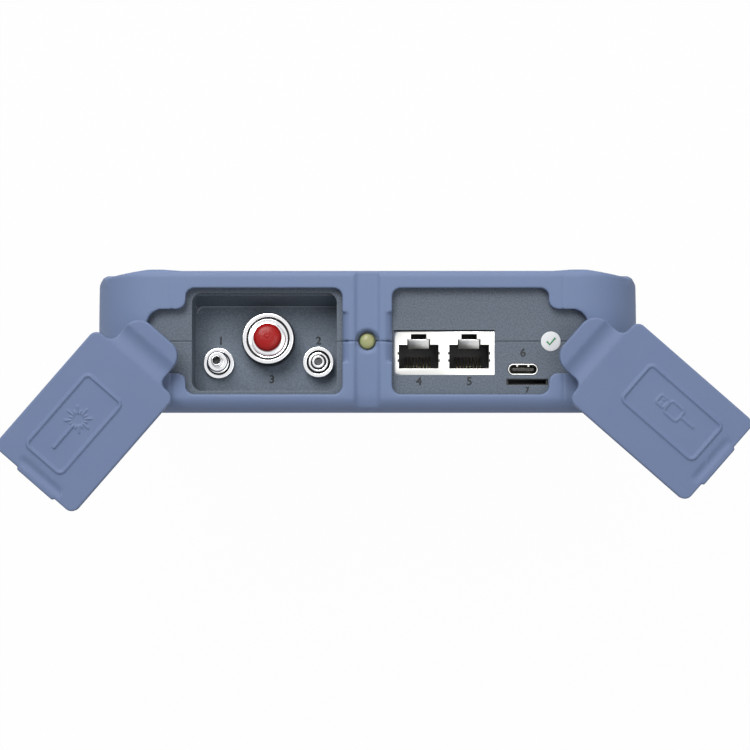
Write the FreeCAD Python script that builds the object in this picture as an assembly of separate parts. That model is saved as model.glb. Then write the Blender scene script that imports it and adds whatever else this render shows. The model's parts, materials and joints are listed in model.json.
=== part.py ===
# Handheld optical time domain reflectometer, standing on its bottom end.
# X runs across the width, +Y towards the back, -Y towards the screen, +Z up to the connector end.
# All sizes are in millimetres; the origin is the centre of the base on the parting plane.
import FreeCAD, Part
import math
import os

os.makedirs("parts", exist_ok=True)
V = FreeCAD.Vector

# Overall body
WIDTH = 165.5
HEIGHT = 112.0
FRONT_DEPTH = 21.6
BACK_DEPTH = 21.2
SIDE_BULGE = 0.5
CORNER_R = 20.0
RUBBER = 3.0
WALL = 2.5
LIP_PROUD = 1.5
FRONT_FILLET = 4.0
BACK_FILLET = 2.5

# Housing inside the rubber
CASE_HALF = WIDTH / 2 - RUBBER
CASE_BOTTOM = RUBBER
CASE_TOP = HEIGHT - RUBBER
CASE_FRONT = LIP_PROUD - FRONT_DEPTH
CASE_BACK = BACK_DEPTH - LIP_PROUD
CASE_R = CORNER_R - RUBBER
ROOF = CASE_TOP - WALL
INNER_FRONT = CASE_FRONT + WALL
INNER_BACK = CASE_BACK - WALL
FRONT_OPENING = (6.25 - CASE_HALF, CASE_HALF - 6.25, CASE_BOTTOM + 9.0, CASE_TOP - 9.0)
BACK_OPENING = (9.25 - CASE_HALF, CASE_HALF - 9.25, CASE_BOTTOM + 6.0, CASE_TOP - 11.0)
OPENING_R = 10.0
SLOPE_REACH = 27.25
CREST_REACH = 21.25
CREST_WIDTH = 4.0
CREASE_X = WIDTH / 2 - 23.75

# General clearances
RUN = 0.35
PIN_FIT = 0.05
PARTING = 0.25

# Bays in the connector end, given for the right side and mirrored for the left
BAY_INNER = 7.5
BAY_OUTER = WIDTH / 2 - 28.05
BAY_HALF = FRONT_DEPTH - 5.6
TAB_END = BAY_OUTER + 11.8
TAB_HALF = 9.7
BAY_R = 2.6
TAB_R = 5.1
FINGER_Y = 1.2
FINGER_HALF = 7.5
FINGER_REACH = 2.1
FINGER_DEPTH = 2.2

# Channel and torch between the bays
CHANNEL_HALF = 2.9
CHANNEL_FLANK = 1.2
CHANNEL_DEPTH = 0.8
LED_R = 2.5
LED_HOLE_R = 3.0
LED_RECESS_R = 3.6
LED_DOME = 1.2
LED_FLANGE = 1.0
TORCH_BOARD_THICK = 1.2

# Optical pocket in the left bay
MOUTH = (1.7 - BAY_OUTER, -BAY_INNER - 1.7, 1.0 - BAY_HALF, BAY_HALF - 1.3)
MOUTH_R = 3.0
POCKET_DEPTH = 12.0
POCKET_BACK_SLOPE = 3.5
PORT_TILT = 5.0
TRAY_SIDE = 1.8
TRAY_BOTTOM = CASE_TOP - POCKET_DEPTH - 3.5

# Optical ports: place along X and Y of each axis on the pocket floor
VFL = (MOUTH[0] + 7.3, MOUTH[2] + 8.5)
OPM = (MOUTH[1] - 5.8, MOUTH[2] + 8.6)
OTDR = ((VFL[0] + OPM[0]) / 2 + 0.05, MOUTH[3] - 14.2)
FERRULE_R = 1.25
SLEEVE_BORE_R = 1.28
PORT_TAIL = 5.0
PORT_NECK_R = 3.0
BOSS_R = 5.9
RING_R = 8.2
BARREL_R = 3.6

# Data ports in the right bay
BOARD_FACE = INNER_FRONT + 7.5
BOARD_THICK = 1.2
BOARD_BACK = BOARD_FACE - BOARD_THICK
JACK = (BAY_INNER + 0.5, BAY_INNER + 30.9, BOARD_FACE, BOARD_FACE + 13.0)
JACK_DEPTH = 15.5
JACK_CENTRES = (JACK[0] + 7.5, JACK[0] + 22.75)
JACK_FLOOR = 3.0
JACK_LOW = BOARD_FACE + 1.9
SOCKET_WIDTH = 12.0
SOCKET_STEPS = (7.2, 8.86, 10.4)
LATCH_WIDTHS = (6.9, 4.7)
CONTACT_PITCH = 1.02
SHIELD = 0.3
SPRING_WIDTH = 6.4
SPRING_THICK = 0.25
SPRING_BEND = (1.2, 3.4, 6.2)
SPRING_REACH = 2.8
USB_SIZE = (8.94, 3.3)
USB = ((JACK[1] + BAY_OUTER) / 2 + 0.45, BOARD_FACE + USB_SIZE[1] / 2)
USB_DEPTH = 7.5
USB_GAP = 0.15
CARD_X = (BAY_OUTER - 12.7, BAY_OUTER - 0.1)
CARD_DEPTH = 15.0
CARD_THICK = 1.9
CARD_SUNK = 0.8
SEAL = (BAY_OUTER + 0.7, 3.0, 0.15)

# Flaps: outline follows the bay, smaller by these gaps
FLAP_THICK = 3.0
FLAP_GAP = 0.35
FLAP_GAP_INNER = 0.6
FLAP_GAP_TAB = 0.6
HINGE_FROM_TAB = 7.7
HINGE_HEIGHT = 0.6
HINGE_BEVEL = 40.0
HINGE_SPLIT = 0.2
STEM_X = TAB_END - 3.3
STEM_R = 1.9
STEM_HEAD_R = 3.2
STEM_HEAD_TOP = ROOF - 4.3
STEM_NECK_R = 1.3
STEM_CAP_R = 1.9
LIP_REACH = 0.9
SKIRT = 3.0
PLUG = 4.5
LEFT_TURN = -131.0
RIGHT_TURN = 138.8

# Screen and keys
GLASS = (8.25 - CASE_HALF, CASE_HALF - 28.25, CASE_BOTTOM + 14.0, CASE_TOP - 17.0)
GLASS_THICK = 1.1
GLASS_R = 4.0
WINDOW = (GLASS[0] + 5.0, GLASS[1] - 5.0, GLASS[2] + 5.0, GLASS[3] - 6.0)
LCD_RIM = 1.5
LCD_THICK = 3.6
GASKET_THICK = 0.6
KEY_NAMES = ("back", "down", "ok", "up", "light", "power")
KEY_X = CASE_HALF - 18.25
KEY_FIRST_Z = GLASS[2] + 11.0
KEY_PITCH = (GLASS[3] - GLASS[2] - 21.0) / (len(KEY_NAMES) - 1)
KEY_SIZE = (13.0, 7.4)
KEY_R = 2.6
KEY_PROUD = 0.9
KEY_RIM = 0.7
KEY_FLANGE = 1.0
KEY_TRAVEL = 0.8
KEY_BOARD = (KEY_X - 10.0, KEY_X + 9.8, GLASS[2] + 7.0, GLASS[3] - 7.0)
KEY_BOARD_FACE = INNER_FRONT + 3.1
KEY_BOARD_THICK = 1.2
KEY_RAIL = 1.4

# Stand, battery and fixings
STAND = (CASE_HALF - 13.25, CASE_BOTTOM + 9.0, CASE_TOP - 34.5)
STAND_LEG = 9.0
STAND_THICK = 3.0
STAND_R = 4.0
STAND_INNER = STAND[0] - STAND_LEG
STAND_AXIS_Y = CASE_BACK - STAND_THICK / 2
STAND_PIN_R = 0.8
STAND_PIN_OUT = 2.0
SCOOP = (18.0, 5.0, 0.5)
MODULE_DEPTH = 11.6
WELL_FLOOR = BOARD_FACE + MODULE_DEPTH + 1.7
WELL_WALL = 1.5
BATTERY = (7.0 - STAND_INNER, STAND_INNER - 7.0, STAND[1] + STAND_LEG + 5.1, CASE_TOP - 40.1)
DOOR = (BATTERY[0] - 2.0, BATTERY[1] + 2.0, BATTERY[2] - 1.3, BATTERY[3] + 7.1)
DOOR_THICK = 1.5
DOOR_SCREWS = ((-30.0, DOOR[3] - 3.0), (30.0, DOOR[3] - 3.0))
CASE_SCREW_X = CASE_HALF - 9.25
CASE_SCREWS = [(x, z) for z in (CASE_BOTTOM + 15.0, CASE_TOP - 19.0)
               for x in (-CASE_SCREW_X, CASE_SCREW_X)]
CASE_BOSS_R = 3.2
CASE_SCREW_R = 1.3
CASE_SCREW_HEAD = (2.6, 1.6)
SMALL_SCREW_R = 1.0
BOARD = (15.25 - CASE_HALF, CASE_HALF - 15.25, CASE_BOTTOM + 7.0, TRAY_BOTTOM - 0.5)
BOARD_SCREW_X = BOARD[1] - 4.0
BOARD_SCREWS = [(x, z) for z in (BOARD[2] + 4.0, BOARD[3] - 2.7)
                for x in (-BOARD_SCREW_X, BOARD_SCREW_X)]
BOARD_BOSS_R = 2.4
MODULE = (BOARD[0] + 2.0, -8.0, BOARD[2] + 16.0, BOARD[3] - 5.0)
MODULE_WALL = 1.2
SPOOL = (BOARD[1] - 26.0, BOARD[3] - 41.0, 20.0)
SPOOL_HUB_R = 12.0
SPOOL_DEPTH = 7.6
FAR = 60.0


def rounded_outline(points, radii):
    """Flat face in the XY plane from corner points, each rounded by its own radius."""
    edges = []
    ends = []
    count = len(points)
    for i in range(count):
        corner = V(points[i][0], points[i][1], 0)
        before = V(points[i - 1][0], points[i - 1][1], 0) - corner
        after = V(points[(i + 1) % count][0], points[(i + 1) % count][1], 0) - corner
        before.normalize()
        after.normalize()
        radius = radii[i]
        if radius <= 0:
            ends.append((corner, corner, None))
            continue
        half = before.getAngle(after) / 2
        reach = radius / math.tan(half)
        middle = before + after
        middle.normalize()
        crown = corner + middle * (radius / math.sin(half) - radius)
        ends.append((corner + before * reach, corner + after * reach, crown))
    for i in range(count):
        start, stop, crown = ends[i]
        if crown is not None:
            edges.append(Part.Arc(start, crown, stop).toShape())
        following = ends[(i + 1) % count][0]
        if (following - stop).Length > 1e-6:
            edges.append(Part.makeLine(stop, following))
    return Part.Face(Part.Wire(edges))


def rounded_rectangle(x0, x1, y0, y1, radius):
    points = ((x0, y0), (x1, y0), (x1, y1), (x0, y1))
    return rounded_outline(points, (radius,) * 4)


def along_z(face, z0, z1):
    """Prism of an XY face between two heights."""
    return face.translated(V(0, 0, z0)).extrude(V(0, 0, z1 - z0))


def along_y(face, y0, y1):
    """Prism between two Y planes of a face drawn as (X, Z)."""
    turned = face.copy()
    turned.rotate(V(0, 0, 0), V(1, 0, 0), 90)
    return turned.translated(V(0, y0, 0)).extrude(V(0, y1 - y0, 0))


def along_x(points, x0, x1):
    """Prism between two X planes of a polygon drawn as (Y, Z)."""
    ring = [V(x0, y, z) for y, z in points]
    face = Part.Face(Part.makePolygon(ring + ring[:1]))
    return face.extrude(V(x1 - x0, 0, 0))


def across(points):
    """Cutter through the whole thickness from a polygon drawn as (X, Z)."""
    ring = [V(x, -FAR, z) for x, z in points]
    return Part.Face(Part.makePolygon(ring + ring[:1])).extrude(V(0, 2 * FAR, 0))


def slab(rect, radius, y0, y1):
    """Prism along Y of a rounded rectangle (x0, x1, z0, z1)."""
    return along_y(rounded_rectangle(rect[0], rect[1], rect[2], rect[3], radius), y0, y1)


def box(x0, x1, y0, y1, z0, z1):
    return Part.makeBox(x1 - x0, y1 - y0, z1 - z0, V(x0, y0, z0))


def rod_y(x, z, radius, y0, y1):
    return Part.makeCylinder(radius, y1 - y0, V(x, y0, z), V(0, 1, 0))


def rod_z(x, y, radius, z0, z1):
    return Part.makeCylinder(radius, z1 - z0, V(x, y, z0))


def revolved(profile):
    """Turned solid about the Z axis from (radius, height) points."""
    ring = [V(r, 0, z) for r, z in profile]
    face = Part.Face(Part.makePolygon(ring + ring[:1]))
    return face.revolve(V(0, 0, 0), V(0, 0, 1), 360)


def grown(rect, by):
    return (rect[0] - by, rect[1] + by, rect[2] - by, rect[3] + by)


def mirrored(shape):
    return shape.mirror(V(0, 0, 0), V(1, 0, 0))


def front_half(shape):
    return shape.common(box(-WIDTH, WIDTH, -FAR, 0, -FAR, HEIGHT + FAR))


def back_half(shape):
    return shape.common(box(-WIDTH, WIDTH, 0, FAR, -FAR, HEIGHT + FAR))


def save(name, shape):
    """Write one piece, or several equal pieces as one group."""
    solids = shape.Solids
    result = solids[0] if len(solids) == 1 else Part.makeCompound(solids)
    result.exportStep("parts/" + name + ".step")


# Body shape


def body_form():
    """Outside of the rubber bumper: rounded front view cut to the profile seen from above."""
    half = WIDTH / 2 + SIDE_BULGE
    crest = BACK_DEPTH + SIDE_BULGE
    outline = rounded_rectangle(-half, half, 0, HEIGHT, CORNER_R)
    form = along_y(outline, -FRONT_DEPTH, crest)
    front_edges = [e for e in form.Edges if e.BoundBox.YMax < -FRONT_DEPTH + 0.01]
    back_edges = [e for e in form.Edges if e.BoundBox.YMin > crest - 0.01]
    form = form.makeFillet(FRONT_FILLET, front_edges)
    back_edges = [e for e in form.Edges if e.BoundBox.YMin > crest - 0.01]
    form = form.makeFillet(BACK_FILLET, back_edges)
    top = half - CREST_REACH
    right = [(half - SLOPE_REACH, BACK_DEPTH), (top, crest), (top + CREST_WIDTH, crest),
             (half - 0.7, BACK_DEPTH - 2.2), (half, 0.0), (half - 0.7, -FRONT_DEPTH - 1.0)]
    points = right + [(-x, y) for x, y in reversed(right)]
    radii = [0, 0, 8.0, 2.7, 0, 0]
    profile = rounded_outline(points, radii + radii[::-1])
    return form.common(along_z(profile, -1, HEIGHT + 1))


def case_prism(inset, y0, y1):
    rect = (-CASE_HALF + inset, CASE_HALF - inset, CASE_BOTTOM + inset, CASE_TOP - inset)
    return slab(rect, CASE_R - inset, y0, y1)


def bay_face(gap_inner=0.0, gap_side=0.0, gap_tab=0.0):
    """Outline of the right bay, or of the flap that fills it when gaps are given."""
    inner = BAY_INNER + gap_inner
    outer = BAY_OUTER - gap_side
    end = TAB_END - gap_tab
    half = BAY_HALF - gap_side
    tab = TAB_HALF - gap_side
    points = ((inner, -half), (outer, -half), (outer, -tab), (end, -tab),
              (end, tab), (outer, tab), (outer, half), (inner, half))
    radii = (BAY_R, BAY_R, BAY_R, TAB_R, TAB_R, BAY_R, BAY_R, BAY_R)
    return rounded_outline(points, radii)


def parting_groove(height):
    """Fine V cut where the front and back halves meet at the connector end."""
    half = PARTING
    points = ((-half - 0.1, height + 0.1), (half + 0.1, height + 0.1), (0, height - half))
    return along_x(points, -CASE_HALF + CASE_R, CASE_HALF - CASE_R)


def end_face_cuts():
    """Bays, finger recesses, torch channel and creases in the rubber at the connector end."""
    bay = along_z(bay_face(), CASE_TOP - 4, HEIGHT + 1)
    finger = box(BAY_INNER - FINGER_REACH, BAY_INNER + 4, FINGER_Y - FINGER_HALF,
                 FINGER_Y + FINGER_HALF, HEIGHT - FINGER_DEPTH, HEIGHT + 1)
    wide = CHANNEL_HALF + CHANNEL_FLANK
    floor = HEIGHT - CHANNEL_DEPTH
    channel = across([(-wide, HEIGHT), (-wide, HEIGHT + 1), (wide, HEIGHT + 1), (wide, HEIGHT),
                      (CHANNEL_HALF, floor), (-CHANNEL_HALF, floor)])
    hole = rod_z(0, 0, LED_HOLE_R, CASE_TOP - 1, HEIGHT + 1)
    recess = rod_z(0, 0, LED_RECESS_R, floor - 0.8, HEIGHT + 1)
    groove = across([(CREASE_X - 0.4, HEIGHT + 0.2), (CREASE_X + 0.4, HEIGHT + 0.2),
                     (CREASE_X, HEIGHT - 0.5)])
    cuts = [bay, mirrored(bay), finger, mirrored(finger), channel, hole, recess, groove]
    return cuts + [mirrored(groove), parting_groove(HEIGHT)]


def bumper():
    form = body_form()
    cuts = [case_prism(0, CASE_FRONT, CASE_BACK)]
    cuts.append(slab(FRONT_OPENING, OPENING_R, -FAR, CASE_FRONT))
    cuts.append(slab(BACK_OPENING, OPENING_R, CASE_BACK, FAR))
    for x, z in CASE_SCREWS:
        cuts.append(rod_y(x, z, CASE_BOSS_R + 0.2, CASE_BACK, FAR))
    return form.cut(cuts + end_face_cuts())


# Housing shells


def port_cutouts():
    """Openings through the top wall of the housing for ports, torch and flap stems."""
    pocket = along_z(rounded_rectangle(*MOUTH, MOUTH_R), ROOF - 1, CASE_TOP + 1)
    slit = 0.5
    jack = box(JACK[0], JACK[1], JACK[2], JACK[3] + slit, ROOF - 2, CASE_TOP + 1)
    usb = usb_outline(-USB_GAP, ROOF - 2, CASE_TOP + 1)
    card = box(*CARD_X, BOARD_BACK - CARD_THICK, BOARD_BACK, ROOF - 2, CASE_TOP + 1)
    torch = rod_z(0, 0, LED_R, ROOF - 2, CASE_TOP + 1)
    stem = rod_z(STEM_X, 0, STEM_R + RUN, ROOF - 4, CASE_TOP + 1)
    parting = parting_groove(CASE_TOP)
    return [pocket, jack, usb, card, torch, stem, mirrored(stem), parting]


def front_shell():
    shell = case_prism(0, CASE_FRONT, 0).cut(case_prism(WALL, INNER_FRONT, 1))
    cuts = [slab(WINDOW, 1.0, CASE_FRONT - 1, INNER_FRONT + 1)]
    cuts.append(slab(GLASS, GLASS_R, CASE_FRONT - 1, CASE_FRONT + GLASS_THICK))
    for i in range(len(KEY_NAMES)):
        cuts.append(slab(key_rect(i, RUN), KEY_R + RUN, CASE_FRONT - 1, INNER_FRONT + 1))
    posts = []
    for x, z in CASE_SCREWS:
        posts.append(rod_y(x, z, CASE_BOSS_R, INNER_FRONT, 0))
        cuts.append(rod_y(x, z, CASE_SCREW_R, INNER_FRONT + 6.4, 1))
    for x, z in BOARD_SCREWS:
        posts.append(rod_y(x, z, BOARD_BOSS_R, INNER_FRONT, BOARD_BACK))
        cuts.append(rod_y(x, z, SMALL_SCREW_R, INNER_FRONT + 1, 0))
    for x in (KEY_BOARD[0], KEY_BOARD[1] - KEY_RAIL):
        posts.append(box(x, x + KEY_RAIL, INNER_FRONT, KEY_BOARD_FACE, *KEY_BOARD[2:]))
    shell = shell.fuse(posts).cut(cuts + port_cutouts())
    return shell.removeSplitter()


def stand_recess(gap):
    """U-shaped space for the folded stand, larger than the stand by the gap."""
    outer, low, pivot = STAND
    top = pivot + STAND_THICK / 2 + gap
    whole = slab((-outer - gap, outer + gap, low - gap, top + 9), STAND_R + gap,
                 CASE_BACK - STAND_THICK - gap, CASE_BACK + 5)
    inner = STAND_INNER - gap
    hollow = box(-inner, inner, 0, FAR, low + STAND_LEG + gap, top + 9)
    return whole.cut([hollow, box(-WIDTH, WIDTH, 0, FAR, top, HEIGHT)])


def stand_pin():
    """Right-hand pivot pin of the stand, held in the rear shell at both ends."""
    start = V(STAND_INNER - STAND_PIN_OUT, STAND_AXIS_Y, STAND[2])
    return Part.makeCylinder(STAND_PIN_R, STAND_LEG + 2 * STAND_PIN_OUT, start, V(1, 0, 0))


def finger_scoop():
    """Round hollow that lets a fingertip under the foot bar of the folded stand."""
    width, radius, rise = SCOOP
    start = V(-width / 2, CASE_BACK + rise, STAND[1] + STAND_LEG + 3.3 - radius)
    return Part.makeCylinder(radius, width, start, V(1, 0, 0))


def rear_shell():
    shell = case_prism(0, 0, CASE_BACK).cut(case_prism(WALL, -1, INNER_BACK))
    backing = stand_recess(RUN + 2.0).common(box(-WIDTH, WIDTH, 0, CASE_BACK, 0, HEIGHT))
    opening = grown(BATTERY, 0.3)
    around = grown(opening, WELL_WALL)
    well = box(*around[:2], WELL_FLOOR - WELL_WALL, INNER_BACK, *around[2:])
    shelf_top = ROOF - LED_FLANGE - TORCH_BOARD_THICK
    posts = [backing, well, box(-5, 5, 4, INNER_BACK, shelf_top - 2.0, shelf_top)]
    cuts = [slab(opening, 0.5, WELL_FLOOR, CASE_BACK + 1)]
    cuts.append(slab(DOOR, 3.0, CASE_BACK - DOOR_THICK, CASE_BACK + 1))
    cuts += [stand_recess(RUN), finger_scoop()]
    cuts += [stand_pin(), mirrored(stand_pin())]
    for x, z in CASE_SCREWS:
        posts.append(rod_y(x, z, CASE_BOSS_R, 0, INNER_BACK))
        cuts.append(rod_y(x, z, CASE_SCREW_R, -1, CASE_BACK + 1))
        cuts.append(rod_y(x, z, CASE_SCREW_HEAD[0], CASE_BACK - CASE_SCREW_HEAD[1] - 0.2, FAR))
    for x, z in DOOR_SCREWS:
        posts.append(rod_y(x, z, 2.8, INNER_BACK - 8.2, INNER_BACK))
        cuts.append(rod_y(x, z, SMALL_SCREW_R, INNER_BACK - 7.2, CASE_BACK))
    shell = shell.fuse(posts).cut(cuts + port_cutouts())
    return shell.removeSplitter()


# Optical pocket and ports


def floor_height(y):
    """Height of the tilted pocket floor at a distance along Y."""
    return CASE_TOP - POCKET_DEPTH - math.tan(math.radians(PORT_TILT)) * (y - OTDR[1])


def port_place(shape, port):
    """Stand a piece, drawn upright at the origin, on the tilted floor at a port."""
    placed = shape.copy()
    placed.rotate(V(0, 0, 0), V(1, 0, 0), -PORT_TILT)
    return placed.translated(V(port[0], port[1], floor_height(port[1])))


def port_tray():
    deep = MOUTH[3] - POCKET_BACK_SLOPE
    cavity = along_z(rounded_rectangle(*MOUTH, MOUTH_R), TRAY_BOTTOM, ROOF + 1)
    space = along_x(((-FAR, floor_height(-FAR)), (deep, floor_height(deep)), (MOUTH[3], CASE_TOP),
                     (-FAR, CASE_TOP)), -WIDTH, 0)
    block = box(MOUTH[0] - TRAY_SIDE, MOUTH[1] + TRAY_SIDE, INNER_FRONT, INNER_BACK,
                TRAY_BOTTOM, ROOF)
    neck = rod_z(0, 0, PORT_NECK_R, -8, 2)
    main_neck = rod_z(0, 0, BOSS_R, -8, 2)
    holes = [port_place(main_neck, OTDR), port_place(neck, VFL), port_place(neck, OPM)]
    return block.cut([cavity.common(space)] + holes)


def otdr_port():
    """Fixed threaded boss and its ferrule, and the exchangeable adapter with ring and cap."""
    flange = RING_R - 0.5
    boss = revolved(((FERRULE_R, -PORT_TAIL), (BOSS_R, -PORT_TAIL), (BOSS_R, 0), (flange, 0),
                     (flange, 0.7), (BOSS_R, 0.7), (BOSS_R, 3.6), (3.2, 3.6), (3.2, 1.0),
                     (FERRULE_R, 1.0)))
    ferrule = revolved(((0, -PORT_TAIL), (FERRULE_R, -PORT_TAIL), (FERRULE_R, 7.2),
                        (FERRULE_R - 0.35, 7.6), (0, 7.6)))
    front = RING_R - 0.45
    adapter = revolved(((SLEEVE_BORE_R, 3.9), (BOSS_R - 0.1, 3.9), (BOSS_R - 0.1, 4.5), (4.4, 4.5),
                        (4.4, 5.9), (front, 5.9), (front, 6.9), (front - 1.5, 6.9),
                        (front - 1.8, 6.6), (BARREL_R + 1.3, 6.6), (BARREL_R + 1.3, 7.1),
                        (BARREL_R, 7.1), (BARREL_R, 10.0), (SLEEVE_BORE_R, 10.0)))
    ring = revolved(((BOSS_R + RUN, 1.05), (RING_R, 1.05), (RING_R, 5.1), (RING_R - 0.4, 5.55),
                     (4.8, 5.55), (4.8, 4.85), (BOSS_R + RUN, 4.85)))
    inside = BARREL_R + PIN_FIT
    outside = inside + 0.65
    cap = revolved(((inside, 7.4), (outside, 7.4), (outside, 10.1), (outside - 0.4, 11.0),
                    (2.4, 11.45), (0, 11.55), (0, 10.3), (inside, 10.3)))
    save("otdr_boss", port_place(boss, OTDR))
    save("otdr_ferrule", port_place(ferrule, OTDR))
    save("otdr_adapter", port_place(adapter, OTDR))
    save("otdr_lock_ring", port_place(ring, OTDR))
    save("otdr_dust_cap", port_place(cap, OTDR))


def small_ports():
    """Fixed 2.5 mm ferrule ports of the fault light and the power meter."""
    low = -PORT_TAIL
    thin = FERRULE_R + 0.4
    thick = FERRULE_R + 0.75
    light = revolved(((thin, low), (PORT_NECK_R, low), (PORT_NECK_R, 0), (4.7, 0), (4.7, 1.6),
                      (3.5, 1.6), (3.5, 1.1), (3.2, 1.1), (3.2, 5.6), (2.6, 6.3), (thin, 6.3)))
    tip = revolved(((FERRULE_R, low), (thin, low), (thin, 9.4), (thin - 0.2, 9.6),
                    (FERRULE_R, 9.6)))
    meter = revolved(((thick, low), (PORT_NECK_R, low), (PORT_NECK_R, 0), (4.7, 0), (4.7, 4.0),
                      (3.6, 4.0), (3.6, 2.4), (3.0, 2.4), (3.0, 4.3), (2.35, 4.3), (2.35, 3.0),
                      (thick, 3.0)))
    sleeve = revolved(((FERRULE_R, low), (thick, low), (thick, 4.9), (thick - 0.2, 5.1),
                       (FERRULE_R, 5.1)))
    save("vfl_port", port_place(light, VFL))
    save("vfl_sleeve", port_place(tip, VFL))
    save("opm_port", port_place(meter, OPM))
    save("opm_sleeve", port_place(sleeve, OPM))


# Data ports


def jack_opening(centre, z0, z1):
    """Stepped socket shape: plug width, then the two steps for the latch."""
    half = SOCKET_WIDTH / 2
    wide, narrow = LATCH_WIDTHS[0] / 2, LATCH_WIDTHS[1] / 2
    first, second, third = SOCKET_STEPS
    right = [(half, 0), (half, first), (wide, first), (wide, second), (narrow, second),
             (narrow, third)]
    points = right + [(-x, y) for x, y in reversed(right)]
    shifted = [(centre + x, JACK_LOW + y) for x, y in points]
    return along_z(rounded_outline(shifted, (0,) * len(shifted)), z0, z1)


def latch_spring(centre):
    """Bent earthing spring that leans out from the wider latch step of a socket."""
    seat = JACK_LOW + SOCKET_STEPS[1]
    top, knee, end = [CASE_TOP - depth for depth in SPRING_BEND]
    tip = seat - SPRING_REACH
    profile = ((seat, top), (seat, top - SPRING_THICK), (tip + SPRING_THICK, knee),
               (tip + SPRING_THICK, end), (tip, end), (tip, knee + SPRING_THICK / 2),
               (seat - SPRING_THICK, top))
    return along_x(profile, centre - SPRING_WIDTH / 2, centre + SPRING_WIDTH / 2)


def network_jack():
    x0, x1, y0, y1 = JACK
    bottom = CASE_TOP - JACK_DEPTH
    core = (x0 + SHIELD, x1 - SHIELD, y0 + SHIELD, y1 - SHIELD)
    shield = box(x0, x1, y0, y1, bottom, CASE_TOP)
    shield = shield.cut(box(*core, bottom - 1, CASE_TOP - SHIELD))
    insert = box(*core, bottom, CASE_TOP - SHIELD)
    floor = bottom + JACK_FLOOR
    wires = []
    springs = []
    for centre in JACK_CENTRES:
        springs.append(latch_spring(centre))
        shield = shield.cut(jack_opening(centre, CASE_TOP - 1, CASE_TOP + 1))
        insert = insert.cut(jack_opening(centre, floor, CASE_TOP))
        for k in range(8):
            x = centre + (k - 3.5) * CONTACT_PITCH
            slope = ((JACK_LOW, CASE_TOP - 5.0), (JACK_LOW, CASE_TOP - 5.6),
                     (JACK_LOW + 3.3, floor), (JACK_LOW + 3.8, floor))
            wires.append(along_x(slope, x - 0.22, x + 0.22))
    save("rj45_shield", shield)
    save("rj45_insert", insert)
    save("rj45_contacts", Part.makeCompound(wires))
    save("rj45_springs", Part.makeCompound(springs))


def usb_outline(inset, z0, z1):
    half_x = USB_SIZE[0] / 2 - inset
    half_y = USB_SIZE[1] / 2 - inset
    face = rounded_rectangle(USB[0] - half_x, USB[0] + half_x, USB[1] - half_y, USB[1] + half_y,
                             half_y - 0.02)
    return along_z(face, z0, z1)


def small_sockets():
    bottom = CASE_TOP - USB_DEPTH
    shell = usb_outline(0, bottom, CASE_TOP).cut(usb_outline(SHIELD, bottom - 1, CASE_TOP + 1))
    base = usb_outline(SHIELD, bottom, bottom + 1.4)
    tongue = box(USB[0] - 3.35, USB[0] + 3.35, USB[1] - 0.35, USB[1] + 0.35, bottom, CASE_TOP - 0.9)
    y0 = BOARD_BACK - CARD_THICK
    card = box(*CARD_X, y0, BOARD_BACK, CASE_TOP - CARD_DEPTH, CASE_TOP - CARD_SUNK)
    card = card.cut(box(CARD_X[0] + 0.6, CARD_X[1] - 0.6, y0 + 0.35, BOARD_BACK - 0.35,
                        CASE_TOP - CARD_DEPTH + 2, CASE_TOP + 1))
    save("usb_c_shell", shell)
    save("usb_c_tongue", base.fuse(tongue).removeSplitter())
    save("card_socket", card)


def torch():
    low = ROOF - LED_FLANGE
    top = CASE_TOP + 0.1
    led = revolved(((0, low), (LED_R + 0.4, low), (LED_R + 0.4, ROOF), (LED_R, ROOF), (LED_R, top),
                    (0, top)))
    radius = (LED_R ** 2 + LED_DOME ** 2) / (2 * LED_DOME)
    dome = Part.makeSphere(radius, V(0, 0, top + LED_DOME - radius))
    dome = dome.common(rod_z(0, 0, LED_R, top, top + LED_DOME + 1))
    save("torch_led", led.fuse(dome).removeSplitter())
    save("torch_board", box(-5, 5, -5, 9, low - TORCH_BOARD_THICK, low))


# Inside


def circuit_boards():
    low, high = BOARD[2], BOARD[3]
    board = box(*BOARD[:2], BOARD_BACK, BOARD_FACE, low, high)
    upper = box(5, BOARD[1] - 2.0, BOARD_BACK, BOARD_FACE, high, ROOF - 0.5)
    board = board.fuse(upper).removeSplitter()
    screws = []
    for x, z in BOARD_SCREWS:
        board = board.cut(rod_y(x, z, SMALL_SCREW_R, BOARD_BACK - 1, BOARD_FACE + 1))
        shank = rod_y(x, z, SMALL_SCREW_R, INNER_FRONT + 1, BOARD_FACE)
        screws.append(shank.fuse(rod_y(x, z, 1.9, BOARD_FACE, BOARD_FACE + 1.3)))
    save("main_board", board)
    save("board_screws", Part.makeCompound(screws))
    places = [(8, 20, high - 19, high - 6, 1.5), (24, 33, high - 16, high - 7, 1.1),
              (8, 20, low + 2, low + 9, 5.0), (25, 37, low + 2, low + 9, 3.2)]
    places += [(-14.0 * k, 8 - 14.0 * k, low + 2, low + 7, 1.0) for k in range(1, 4)]
    chips = [box(x0, x1, BOARD_FACE, BOARD_FACE + tall, z0, z1) for x0, x1, z0, z1, tall in places]
    save("board_chips", Part.makeCompound(chips))


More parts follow.
